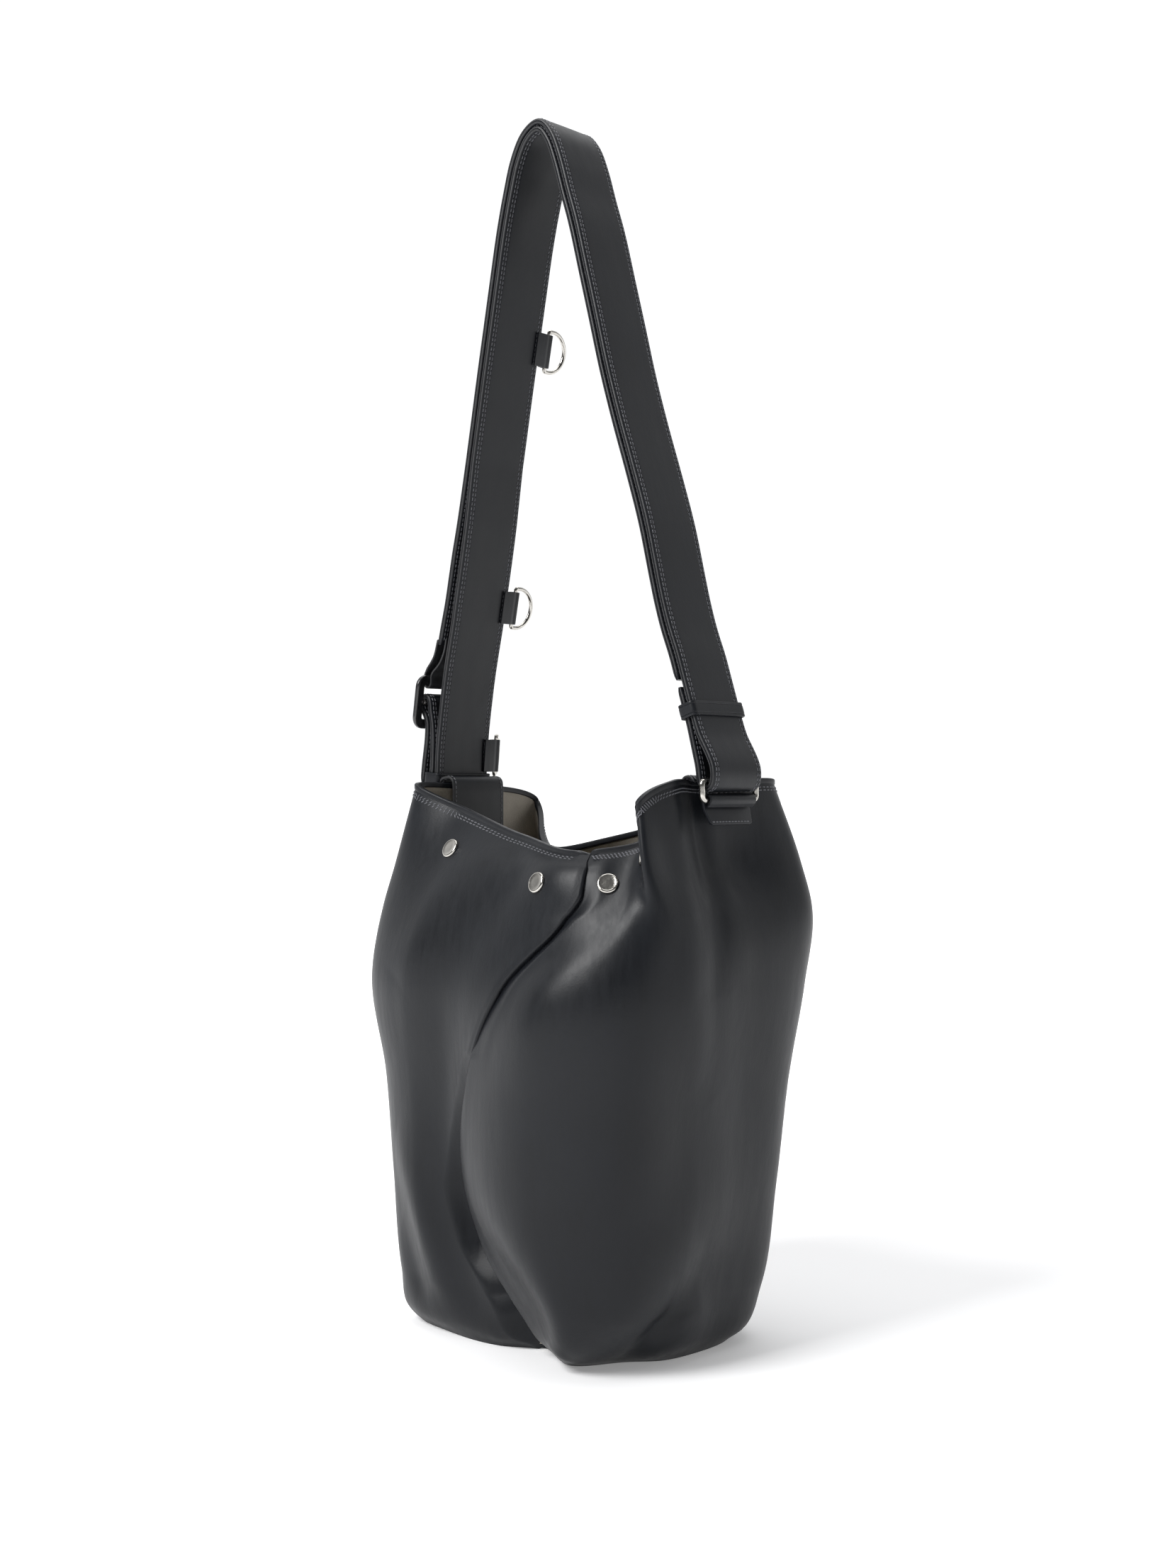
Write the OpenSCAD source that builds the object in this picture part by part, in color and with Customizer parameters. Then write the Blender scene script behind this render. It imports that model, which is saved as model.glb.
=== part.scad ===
/* [Body] */
// Thickness of the body leather
leather_t = 2.0; // [1.6:0.1:2.4]
// Thickness of the suede lining
lining_t = 0.8; // [0.6:0.1:1.2]
// Thickness of the stiff board in the base
board_t = 2.0; // [1.5:0.5:3]

/* [Strap] */
// Width of the belts
belt_w = 50; // [46:1:51]
// Thickness of one belt
belt_t = 4.4; // [3.6:0.1:4.4]
// Air between the two belts where they lie together
belt_gap = 0.4; // [0.3:0.1:0.6]
// How far the strap stands in front of the body's drawing centre
strap_front = 8; // [6:1:10]

/* [Hardware] */
// Wire radius of the side rings
ring_wire_r = 2.0; // [1.6:0.1:2.1]
// Clear width inside a side ring
ring_in_w = 52; // [52:1:54]
// Height between the centres of a side ring's two bars
ring_h = 12; // [11:0.5:12]
// Wire radius of the D-rings
dee_wire_r = 1.5; // [1.2:0.1:1.7]
// Clear height inside a D-ring
dee_in_h = 25; // [22:1:26]
// Cap radius of the press studs
stud_r = 6.75; // [5.5:0.25:7.5]
// Length of the buckle frame along the strap
buckle_l = 38; // [37:1:40]
// Width of the buckle frame across the strap
buckle_w = 66; // [64:1:68]
// Thickness of the buckle frame
buckle_t = 3.4; // [3:0.2:4]

/* [Hidden] */
$fn = 48;
black = [0.08, 0.08, 0.09];
suede = [0.47, 0.44, 0.40];
steel = [0.80, 0.80, 0.80];
gunmetal = [0.16, 0.16, 0.17];
card = [0.45, 0.40, 0.34];

mouth_h = 366;               // the mouth's corners above the floor
right_ring_c = [119.5, 356]; // X and Z of each side ring's lower bar, outside the wall
left_ring_c = [-124.5, 340];
run_gap = 0.08;              // radial clearance of a wire in its leather sleeve
centre = [5.2, 11.85, 0];      // moves everything so that the origin is under the box's middle
module placed() { translate(centre) children(); }
module on_strap() { translate(centre - [0, strap_front, 0]) children(); }

// The body's sections, from the base up. Each row goes round counter-clockwise from the middle
// of the right side: right, back right corner, back right, back middle, back left, back left ear,
// left, front left corner, front left, front middle, front pleat, pleat's right, front right ear,
// right side's front.
function at_z(row, z) = [for (p = row) [p[0], p[1], z]];
base_row = [[86, 0], [80, 44], [52, 68], [0, 74], [-52, 72], [-92, 58], [-102, 0], [-104, -58],
    [-74, -67], [-20, -70], [8, -58], [45, -73], [66, -44], [80, -28]];
heel_row = [[95, 0], [90, 50], [58, 76], [0, 80], [-58, 78], [-102, 64], [-111, 0], [-113, -65],
    [-76, -76], [-24, -77], [14, -72], [54, -90], [78, -62], [93, -36]];
foot_row = [[104, 0], [98, 56], [60, 80], [0, 82], [-60, 80], [-106, 66], [-117, 0], [-117, -67],
    [-78, -80], [-30, -80], [26, -92], [64, -106], [92, -80], [105, -42]];
low_row = [[114, 0], [108, 58], [68, 86], [0, 90], [-64, 86], [-114, 70], [-124, 0], [-121, -69],
    [-80, -88], [-46, -84], [-14, -104], [54, -122], [98, -98], [114, -46]];
waist_row = [[120, 0], [115, 62], [72, 92], [0, 94], [-68, 90], [-120, 74], [-130, 0],
    [-126, -72], [-84, -92], [-48, -90], [-14, -108], [56, -124], [104, -102], [120, -48]];
belly_row = [[130, 0], [126, 66], [78, 98], [0, 98], [-74, 96], [-130, 78], [-140, 4],
    [-136, -76], [-84, -98], [-35, -100], [16, -112], [70, -122], [114, -98], [130, -46]];
shoulder_row = [[127, 0], [129, 69], [80, 94], [5, 88], [-70, 84], [-123, 80], [-132, 4],
    [-129, -72], [-72, -88], [-5, -96], [62, -102], [100, -92], [118, -84], [124, -42]];
neck_row = [[112, -4], [122, 66], [80, 78], [6, 62], [-74, 56], [-114, 74], [-111.5, -8],
    [-124, -64], [-66, -76], [2, -86], [66, -90], [97, -74], [112, -84], [113, -44]];
rim_row = [[107, -8, 366], [110, 52, 366], [74, 52, 355], [4, 42, 333], [-70, 34, 321],
    [-107, 62, 352], [-107, -20, 363.8], [-111, -58, 364], [-66, -58, 348], [-4, -68, 331],
    [65, -80, 323], [95, -64, 331], [104, -79, 351], [104.5, -44, 366]];
levels = [at_z(base_row, 0), at_z(heel_row, 10), at_z(foot_row, 36), at_z(low_row, 103),
    at_z(waist_row, 169), at_z(belly_row, 236), at_z(shoulder_row, 284), at_z(neck_row, 315), rim_row];

per_point = 4;               // columns between two section points
per_level = 2;               // rows between two sections
columns = len(base_row) * per_point;
back_column = 3 * per_point;
pleat_column = 10 * per_point;

// Smooth curve from b to c, with neighbours a and d. The ends' directions are weighted by how
// far the neighbours are, so a short step beside a long one makes no loop.
function gap(a, b) = max(norm(b - a), 0.001);
function heading(a, b, c) = let (m = gap(a, b), n = gap(b, c))
    (c - b) / n * m / (m + n) + (b - a) / m * n / (m + n);
function curve(a, b, c, d, t) = let (l = gap(b, c), p = heading(a, b, c) * l, q = heading(b, c, d) * l)
    b * (2 * t * t * t - 3 * t * t + 1) + p * (t * t * t - 2 * t * t + t)
    + c * (3 * t * t - 2 * t * t * t) + q * (t * t * t - t * t);
function closed_curve(p, k) = let (n = len(p)) [for (i = [0:n - 1]) for (j = [0:k - 1])
    curve(p[(i + n - 1) % n], p[i], p[(i + 1) % n], p[(i + 2) % n], j / k)];
function open_curve(p, k) = let (n = len(p)) concat([for (i = [0:n - 2]) for (j = [0:k - 1])
    curve(i > 0 ? p[i - 1] : 2 * p[0] - p[1], p[i], p[i + 1],
        i < n - 2 ? p[i + 2] : 2 * p[n - 1] - p[n - 2], j / k)], [p[n - 1]]);

rings = [for (row = levels) closed_curve(row, per_point)];
by_column = [for (c = [0:columns - 1]) open_curve([for (r = rings) r[c]], per_level)];
rows = len(by_column[0]);
wall = [for (r = [0:rows - 1]) [for (c = [0:columns - 1])
    let (p = by_column[c][r]) [p[0], p[1], max(p[2], 0)]]];

function flat(v) = [v[0], v[1]];
function unit(v) = v / norm(v);
// A row moved inwards, level, by d
function inset(row, d) = [for (c = [0:len(row) - 1])
    let (a = row[(c + len(row) - 1) % len(row)], b = row[(c + 1) % len(row)],
        along = unit(flat(b - a))) row[c] + [-along[1], along[0], 0] * d];
function inset_all(d) = [for (row = wall) inset(row, d)];

// Closed solid between two grids of rows, outer and inner, over columns from first to last
module patch(outer, inner, first, last) {
    n = last - first + 1;
    m = len(outer);
    count = len(outer[0]);
    points = concat([for (row = outer) for (i = [0:n - 1]) row[(first + i) % count]],
        [for (row = inner) for (i = [0:n - 1]) row[(first + i) % count]]);
    o = m * n;
    faces = concat(
        [for (r = [0:m - 2]) for (i = [0:n - 2]) let (a = r * n + i)
            each [[a, a + n, a + 1], [a + 1, a + n, a + n + 1]]],
        [for (r = [0:m - 2]) for (i = [0:n - 2]) let (a = o + r * n + i)
            each [[a, a + 1, a + n], [a + 1, a + n + 1, a + n]]],
        [for (i = [0:n - 2]) each [[i, i + 1, o + i], [i + 1, o + i + 1, o + i]]],
        [for (i = [0:n - 2]) let (a = (m - 1) * n + i)
            each [[a, o + a, a + 1], [a + 1, o + a, o + a + 1]]],
        [for (r = [0:m - 2]) let (a = r * n)
            each [[a, o + a, a + n], [a + n, o + a, o + a + n]]],
        [for (r = [0:m - 2]) let (a = r * n + n - 1)
            each [[a, a + n, o + a], [a + n, o + a + n, o + a]]]);
    polyhedron(points, faces);
}

// Closed ring-shaped solid between two grids that go all the way round
module shell(outer, inner) {
    m = len(outer);
    n = len(outer[0]);
    o = m * n;
    function nx(i) = (i + 1) % n;
    faces = concat(
        [for (r = [0:m - 2]) for (i = [0:n - 1]) each [
            [r * n + i, (r + 1) * n + i, r * n + nx(i)],
            [r * n + nx(i), (r + 1) * n + i, (r + 1) * n + nx(i)]]],
        [for (r = [0:m - 2]) for (i = [0:n - 1]) each [
            [o + r * n + i, o + r * n + nx(i), o + (r + 1) * n + i],
            [o + r * n + nx(i), o + (r + 1) * n + nx(i), o + (r + 1) * n + i]]],
        [for (i = [0:n - 1]) each [[i, nx(i), o + i], [nx(i), o + nx(i), o + i]]],
        [for (i = [0:n - 1]) let (b = (m - 1) * n) each [
            [b + i, o + b + i, b + nx(i)], [b + nx(i), o + b + i, o + b + nx(i)]]]);
    polyhedron(concat([for (row = outer) each row], [for (row = inner) each row]), faces);
}

module left_panel() {
    color(black) placed() patch(wall, inset_all(leather_t), back_column, pleat_column);
}

module right_panel() {
    color(black) placed() patch(wall, inset_all(leather_t), pleat_column, columns + back_column);
}

module floor_plate(inset_by, z, t) {
    translate([0, 0, z]) linear_extrude(t) polygon([for (p = inset(wall[0], inset_by)) flat(p)]);
}

module base_panel() { color(black) placed() floor_plate(leather_t + lining_t, 0, leather_t); }
module base_board() { color(card) placed() floor_plate(leather_t + lining_t, leather_t, board_t); }

module lining_wall() {
    color(suede) placed() shell(inset_all(leather_t), inset_all(leather_t + lining_t));
}

lining_floor_z = leather_t + board_t;
module lining_base() {
    color(suede) placed() floor_plate(leather_t + lining_t, lining_floor_z, lining_t);
}

binding_h = 2.4;
module rim_binding() {
    top = wall[rows - 1];
    inner = inset(top, leather_t + lining_t);
    function up(row) = [for (p = row) p + [0, 0, binding_h]];
    color(black) placed() shell([top, up(top)], [inner, up(inner)]);
}

// Point on the wall and its outward direction, at a column and height given as fractions of the grid
function wall_point(u, v) = let (c = floor(u), r = floor(v), fu = u - c, fv = v - r,
    a = wall[r][c % columns], b = wall[r][(c + 1) % columns],
    d = wall[r + 1][c % columns], e = wall[r + 1][(c + 1) % columns])
    (a * (1 - fu) + b * fu) * (1 - fv) + (d * (1 - fu) + e * fu) * fv;
function wall_out(u, v) = unit(cross(wall_point(u + 0.4, v) - wall_point(u - 0.4, v),
    wall_point(u, v + 0.3) - wall_point(u, v - 0.3)));

// Column and row of each press stud, from the left, and how far it stands off the wall
studs = [[32.1, 14.5, 0.9], [38.2, 13.25, 1.0], [42.3, 13.35, 1.2], [45.5, 14.7, 1.6]];

module on_wall(u, v) {
    p = wall_point(u, v);
    n = wall_out(u, v);
    translate(p) rotate([0, acos(n[2]), atan2(n[1], n[0])]) children();
}

cap_t = 2.1;
module stud_caps() {
    color(steel) placed() for (s = studs) on_wall(s[0], s[1]) translate([0, 0, s[2]])
        rotate_extrude() polygon([[0, 0], [stud_r - 0.5, 0], [stud_r, 0.5], [stud_r, 1.0],
            [stud_r - 0.6, cap_t - 0.5], [stud_r - 1.6, cap_t], [0, cap_t]]);
}

module stud_sockets() {
    depth = leather_t + lining_t + 0.6;
    color(steel) placed() for (s = studs) on_wall(s[0], s[1]) translate([0, 0, -depth - 3])
        rotate_extrude() polygon([[0, 0], [3.2, 0], [3.2, 1.2], [5.4, 1.2], [5.4, 3.0], [0, 3.0]]);
}

// A flat outline in X and Z, drawn out along Y to width w
module along_y(w) { rotate([90, 0, 0]) linear_extrude(w, center = true) children(); }

// Points of a path in X and Z moved sideways by d, and the outline of a strip of thickness t
function side_of(p, d) = let (n = len(p)) [for (i = [0:n - 1])
    let (along = unit(p[min(i + 1, n - 1)] - p[max(i - 1, 0)])) p[i] + [along[1], -along[0]] * d];
module strip(p, t) {
    right = side_of(p, t / 2);
    left = side_of(p, -t / 2);
    polygon(concat(right, [for (i = [len(p) - 1:-1:0]) left[i]]));
}
function arc(c, r, from, to, steps) = [for (i = [0:steps])
    let (a = from + (to - from) * i / steps) c + r * [cos(a), sin(a)]];

// Flap of a side tab: it lies over the mouth's edge and hangs inside
flap_w = 50;
flap_t = 1.8;
flap_top = mouth_h + binding_h + 1.1;
module flap(out_x) {
    x = 99.4;
    bottom_z = mouth_h - 36;
    along_y(flap_w) polygon([[x, bottom_z], [x + flap_t, bottom_z], [x + flap_t, flap_top],
        [out_x, flap_top], [out_x, flap_top + flap_t], [x + 1, flap_top + flap_t],
        [x, flap_top + flap_t - 1]]);
}
module right_flap() { color(black) on_strap() flap(108); }
module left_flap() { color(black) on_strap() mirror([1, 0, 0]) flap(111); }

// Side tab: a sleeve round the ring's lower bar with a tapered leaf below it. c is the bar.
sleeve_r = ring_wire_r + 2.2;
leaf_t = 2.0;
leaf_h = 10.5;
module tab() {
    w = belt_w - 4;
    taper = 9;
    difference() {
        union() {
            rotate([90, 0, 0]) cylinder(w, r = sleeve_r, center = true);
            translate([-sleeve_r + 0.7, 0, 0]) rotate([90, 0, 90]) linear_extrude(leaf_t)
                polygon([[-w / 2, 0], [w / 2, 0], [w / 2 - taper, 1.5 - leaf_h],
                    [w / 2 - taper - 2, -leaf_h], [-w / 2 + taper + 2, -leaf_h],
                    [-w / 2 + taper, 1.5 - leaf_h]]);
        }
        rotate([90, 0, 0]) cylinder(w + 4, r = ring_wire_r + run_gap, center = true);
    }
}

// Side ring: a rectangle of round wire standing in the strap's plane. Its lower bar is at 0.
module side_ring() {
    y = ring_in_w / 2 + ring_wire_r;
    for (z = [0, ring_h]) translate([0, 0, z]) rotate([90, 0, 0])
        cylinder(2 * y, r = ring_wire_r, center = true);
    for (s = [-1, 1]) translate([0, s * y, 0]) {
        cylinder(ring_h, r = ring_wire_r);
        sphere(ring_wire_r);
        translate([0, 0, ring_h]) sphere(ring_wire_r);
    }
}
module at_xz(c) { translate([c[0], 0, c[1]]) children(); }
module right_tab() { color(black) on_strap() at_xz(right_ring_c) tab(); }
module left_tab() { color(black) on_strap() at_xz(left_ring_c) mirror([1, 0, 0]) tab(); }
module right_ring() { color(steel) on_strap() at_xz(right_ring_c) side_ring(); }
module left_ring() { color(steel) on_strap() at_xz(left_ring_c) side_ring(); }

// The belts' paths in X and Z. Where the two lie together, each is the pair's middle path moved
// out by half a layer. The outer belt goes from the buckle over the top to the right ring and
// back up inside; the inner belt goes from there over the top to the left ring and the buckle.
layer = belt_t + belt_gap;
pair = open_curve([[-86.5, 577], [-80.3, 610], [-74.2, 643], [-67.8, 676], [-61.4, 709],
    [-54.8, 742], [-48.7, 766], [-41.5, 788], [-33, 801], [-21.5, 806], [-13, 798], [-5.5, 782],
    [2.2, 758], [9, 738], [18.3, 704], [27.5, 670], [36.8, 635], [47.3, 601], [58.8, 567],
    [69.6, 533], [77.8, 500], [82.4, 482], [88, 464], [94.6, 447], [99.4, 432], [103.9, 418],
    [108.4, 404]], 3);
last = len(pair) - 1;
function from_to(p, a, b) = [for (i = [a:b]) p[i]];
right_grip = right_ring_c + [0, ring_h];     // the bar each loop hangs on
left_grip = left_ring_c + [0, ring_h];
grip_r = ring_wire_r + 1.0 + belt_t / 2;
outer_path = concat(
    open_curve([[-114.3, 463], [-111.4, 475], [-107, 492], [-103.5, 509], [-100, 526],
        [-96, 543], [-92.4, 560]], 3),
    from_to(side_of(pair, -layer / 2), 1, last),
    open_curve([[113.8, 396.5], [118.0, 389.5], [122.0, 382.5], [124.9, 375],
        each arc(right_grip, grip_r, 8, -172, 8), [113.2, 376], [110.6, 386], [108.3, 395]], 3),
    [for (i = [last:-1:last - 5]) side_of(pair, layer / 2)[i]]);
module outer_belt() { color(black) on_strap() along_y(belt_w) strip(outer_path, belt_t); }

bar_c = [-128.6, 423.5];             // centre of the buckle's middle bar
bar_r = 2;
wrap_r = bar_r + 0.4 + belt_t / 2;
inner_path = concat(
    [for (i = [last - 6:-1:1]) side_of(pair, layer / 2)[i]],
    open_curve([[-88.0, 547], [-91.0, 530], [-94.4, 512], [-97.8, 495], [-101.2, 477], [-105, 460],
        [-108.8, 442], [-111.7, 425], [-114.4, 407], [-116.4, 389], [-117.2, 375],
        each arc(left_grip, grip_r, 8, -184, 8), [-127.4, 359], [-124.2, 366], [-122.4, 374],
        [-121.6, 386], [-121.3, 398], [-121.8, 408], each arc(bar_c, wrap_r, -15, 185, 9),
        [-132.0, 418.6], [-128.7, 414.4], [-127.0, 410], [-126.8, 403], [-128.0, 392],
        [-130.0, 380], [-131.4, 367]], 3));
slot_w = 8;
module inner_belt() {
    color(black) on_strap() difference() {
        along_y(belt_w) strip(inner_path, belt_t);
        translate([bar_c[0] - 8, 0, bar_c[1] - 4]) cube([15, slot_w, 20], center = true);
        at_xz(bar_c) rotate([90, 0, 0]) cylinder(slot_w, r = bar_r + 2.3, center = true);
    }
}

// Keeper: a closed leather band round two belts, with a little room
keeper_h = 9.5;
keeper_t = 1.5;
module keeper(c, tilt, deep, room) {
    in_x = deep + 2 * room;
    in_y = belt_w + 2 * room;
    at_xz(c) rotate([0, tilt, 0]) linear_extrude(keeper_h, center = true)
        difference() {
            square([in_x + 2 * keeper_t, in_y + 2 * keeper_t], center = true);
            square([in_x, in_y], center = true);
        }
}
right_keeper_c = [105.8, 412];
keeper_tilt = -17.8;
module right_keeper() {
    color(black) on_strap() keeper(right_keeper_c, keeper_tilt, belt_t + layer, 0.4);
}
module left_keeper() { color(black) on_strap() keeper([-120.7, 369.3], 6, belt_t + 6.6, 0.3); }

// Buckle: a rounded frame that leans with the strap, its middle bar and its prong
buckle_lean = 8;
frame_band = 7;
module in_buckle() { at_xz(bar_c) rotate([0, buckle_lean, 0]) children(); }
module rounded(x, y, r) {
    for (s = [-1, 1]) for (t = [-1, 1]) translate([s * (x / 2 - r), t * (y / 2 - r)]) circle(r);
    square([x - 2 * r, y], center = true);
    square([x, y - 2 * r], center = true);
}
module buckle_frame() {
    color(gunmetal) on_strap() in_buckle() difference() {
        translate([-1.2, 0, 0]) rotate([0, 90, 0]) linear_extrude(buckle_t, center = true)
            difference() {
                rounded(buckle_l, buckle_w, 8);
                square([buckle_l - 2 * frame_band, buckle_w - 2 * frame_band], center = true);
            }
        rotate([90, 0, 0]) cylinder(buckle_w - frame_band, r = 1.2, center = true);
    }
}
module buckle_bar() {
    color(steel) on_strap() in_buckle() rotate([90, 0, 0]) {
        cylinder(buckle_w - 2 * frame_band, r = bar_r, center = true);
        cylinder(buckle_w - frame_band, r = 1.2, center = true);
    }
}
prong_w = 4;
module buckle_prong() {
    color(steel) on_strap() in_buckle() difference() {
        union() {
            rotate([90, 0, 0]) cylinder(prong_w, r = bar_r + 1.9, center = true);
            rotate([90, 0, 0]) linear_extrude(prong_w, center = true) polygon([[-3.2, 1.4],
                [-5.7, -1.5], [-5.9, -17.5], [-5.2, -19], [-3.7, -19], [-3.4, -9], [-2.6, -2.6]]);
        }
        rotate([90, 0, 0]) cylinder(prong_w + 2, r = bar_r + run_gap, center = true);
    }
}
// Leather tab that joins the outer belt's end to the frame's top bar
module buckle_tab() {
    t = 1.5;
    lift = buckle_l / 2 - frame_band / 2;
    c = bar_c + lift * [sin(buckle_lean), cos(buckle_lean)] - [1.2, 0];
    half = frame_band / 2 + 0.5;
    side = buckle_t / 2 + 0.6 + t / 2;
    path = open_curve([[-109.5, 467], [-111.5, 458.5], [-116.2, 450], c + [side, half - 1],
        c + [side - 0.4, -half + 1], c + [side * 0.3, -half - t / 2 - 0.3],
        c + [-side * 0.5, -half - t / 2 - 0.2], c + [-side - 0.5, -half + 1],
        c + [-side, half], [-121.6, 455], [-117.6, 467]], 3);
    color(black) on_strap() along_y(belt_w - 4) strip(path, t);
}

// D-rings on the inner belt's back edge, from the top: X, Z and lean of each straight bar
dee_r = dee_in_h / 2 + dee_wire_r;
dee_arm = 4;
dee_y = belt_w / 2 + 9;              // axis of a D-ring's straight bar, beyond the belt's edge
dee_sleeve_r = dee_wire_r + 1.5;
dee_spots = [[-66.4, 670, 11], [-98.4, 491.5, 11], [-116.5, 386.5, 5]];
dee_rest = [0, 0, 38];
module at_dee(i) { on_strap() at_xz(dee_spots[i]) rotate([0, dee_spots[i][2], 0]) children(); }
module dee_tab(i) {
    h = dee_in_h - 2;
    face = belt_t / 2 + 0.35;
    tab_t = 1.4;
    reach = dee_y - belt_w / 2;
    color(black) at_dee(i) difference() {
        union() {
            translate([0, dee_y, 0]) cylinder(h, r = dee_sleeve_r, center = true);
            translate([face, 0, 0]) rotate([90, 0, 90]) linear_extrude(tab_t) {
                translate([belt_w / 2 - 5, 0]) circle(h / 2);
                translate([belt_w / 2 - 5, -h / 2]) square([reach + 5, h]);
            }
            translate([0, belt_w / 2 + 1.2, -h / 2]) cube([face + tab_t, reach - 1.2, h]);
        }
        translate([0, dee_y, 0]) cylinder(h + 2, r = dee_wire_r + run_gap, center = true);
    }
}
module dee_ring(i) {
    color(steel) at_dee(i) translate([0, dee_y, 0]) rotate([0, 0, dee_rest[i]]) {
        cylinder(2 * dee_r, r = dee_wire_r, center = true);
        for (s = [-1, 1]) translate([0, 0, s * dee_r]) {
            sphere(dee_wire_r);
            rotate([-90, 0, 0]) cylinder(dee_arm, r = dee_wire_r);
        }
        translate([0, dee_arm, 0]) rotate([90, 0, 90]) rotate([0, 0, -90])
            rotate_extrude(angle = 180) translate([dee_r, 0]) circle(dee_wire_r);
    }
}

left_panel();
right_panel();
base_panel();
base_board();
lining_wall();
lining_base();
rim_binding();
stud_caps();
stud_sockets();
right_flap();
left_flap();
right_tab();
left_tab();
right_ring();
left_ring();
outer_belt();
inner_belt();
right_keeper();
left_keeper();
buckle_tab();
buckle_frame();
buckle_bar();
buckle_prong();
dee_tab(0);  // dee_tab_1
dee_tab(1);  // dee_tab_2
dee_tab(2);  // dee_tab_3
dee_ring(0);  // dee_ring_1
dee_ring(1);  // dee_ring_2
dee_ring(2);  // dee_ring_3
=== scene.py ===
"""Bucket shoulder bag: two gathered leather panels, suede lining, a doubled belt strap and its fittings.

Shapes are worked out in millimetres in the drawing's frame, as grids, and put in the row frame in metres.
"""
import math

import bmesh
import bpy
import numpy as np
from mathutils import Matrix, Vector


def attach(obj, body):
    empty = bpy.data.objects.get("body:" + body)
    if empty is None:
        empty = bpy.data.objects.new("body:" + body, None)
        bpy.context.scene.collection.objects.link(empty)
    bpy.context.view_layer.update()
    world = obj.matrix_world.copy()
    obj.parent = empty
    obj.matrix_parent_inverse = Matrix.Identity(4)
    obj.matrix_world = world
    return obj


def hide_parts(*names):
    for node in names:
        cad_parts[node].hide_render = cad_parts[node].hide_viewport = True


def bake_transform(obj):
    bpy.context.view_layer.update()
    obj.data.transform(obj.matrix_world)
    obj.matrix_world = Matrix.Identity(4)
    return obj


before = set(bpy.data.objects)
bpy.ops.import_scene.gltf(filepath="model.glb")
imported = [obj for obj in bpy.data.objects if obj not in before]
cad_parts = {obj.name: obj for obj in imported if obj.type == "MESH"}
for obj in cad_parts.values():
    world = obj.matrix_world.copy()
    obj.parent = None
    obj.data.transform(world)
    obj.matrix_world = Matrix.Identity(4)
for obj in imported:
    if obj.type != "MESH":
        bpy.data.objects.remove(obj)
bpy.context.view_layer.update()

bl_info = {
    "name": "Bucket Shoulder Bag",
    "version": (1, 0, 0),
    "blender": (4, 5, 0),
    "location": "3D View > Sidebar > Bag",
    "description": "Builds a gathered leather bucket bag on its measured frame",
    "category": "Object",
}


def linear(code):
    """An sRGB hex value as linear RGBA."""
    c = np.array([int(code[i:i + 2], 16) for i in (1, 3, 5)]) / 255
    return (*np.where(c <= 0.04045, c / 12.92, ((c + 0.055) / 1.055) ** 2.4).tolist(), 1.0)


class BagSettings(bpy.types.PropertyGroup):
    """Sizes and colours that a maker would change."""
    stitch_pitch: bpy.props.FloatProperty(
        name="Stitch pitch", description="From one stitch to the next", default=0.0032, min=0.002,
        unit="LENGTH")
    stitch_width: bpy.props.FloatProperty(
        name="Thread width", description="Width of one stitch", default=0.0009, min=0.0003,
        unit="LENGTH")
    fold_depth: bpy.props.FloatProperty(
        name="Fold depth", description="How deep the soft folds in the panels are", default=1.0,
        min=0.0, max=2.0, subtype="FACTOR")
    leather: bpy.props.FloatVectorProperty(
        name="Leather", description="Colour of the calf leather", default=linear("#111317"), size=4,
        subtype="COLOR")
    lining: bpy.props.FloatVectorProperty(
        name="Lining", description="Colour of the suede lining", default=linear("#a39c90"), size=4,
        subtype="COLOR")
    metal: bpy.props.FloatVectorProperty(
        name="Metal", description="Colour of the polished fittings", default=linear("#c2bfb9"), size=4,
        subtype="COLOR")


# ---- Sections of the wall

# From the base up, each counter-clockwise from the middle of the right side, in mm
SECTION_HEIGHTS = (0, 10, 36, 103, 169, 236, 284, 315)
SECTIONS = (
    ((86, 0), (80, 44), (52, 68), (0, 74), (-52, 72), (-92, 58), (-102, 0), (-104, -58),
     (-74, -67), (-20, -70), (8, -58), (45, -73), (66, -44), (80, -28)),
    ((95, 0), (90, 50), (58, 76), (0, 80), (-58, 78), (-102, 64), (-111, 0), (-113, -65),
     (-76, -76), (-24, -77), (14, -72), (54, -90), (78, -62), (93, -36)),
    ((104, 0), (98, 56), (60, 80), (0, 82), (-60, 80), (-106, 66), (-117, 0), (-117, -67),
     (-78, -80), (-30, -80), (26, -92), (64, -106), (92, -80), (105, -42)),
    ((114, 0), (108, 58), (68, 86), (0, 90), (-64, 86), (-114, 70), (-124, 0), (-121, -69),
     (-80, -88), (-46, -84), (-14, -104), (54, -122), (98, -98), (114, -46)),
    ((120, 0), (115, 62), (72, 92), (0, 94), (-68, 90), (-120, 74), (-130, 0), (-126, -72),
     (-84, -92), (-48, -90), (-14, -108), (56, -124), (104, -102), (120, -48)),
    ((130, 0), (126, 66), (78, 98), (0, 98), (-74, 96), (-130, 78), (-140, 4), (-136, -76),
     (-84, -98), (-35, -100), (16, -112), (70, -122), (114, -98), (130, -46)),
    ((127, 0), (129, 69), (80, 94), (5, 88), (-70, 84), (-123, 80), (-132, 4), (-129, -72),
     (-72, -88), (-5, -96), (62, -102), (100, -92), (118, -84), (124, -42)),
    ((112, -4), (122, 66), (80, 78), (6, 62), (-74, 56), (-114, 74), (-111.5, -8), (-124, -64),
     (-66, -76), (2, -86), (66, -90), (97, -74), (112, -84), (113, -44)),
)
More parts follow.
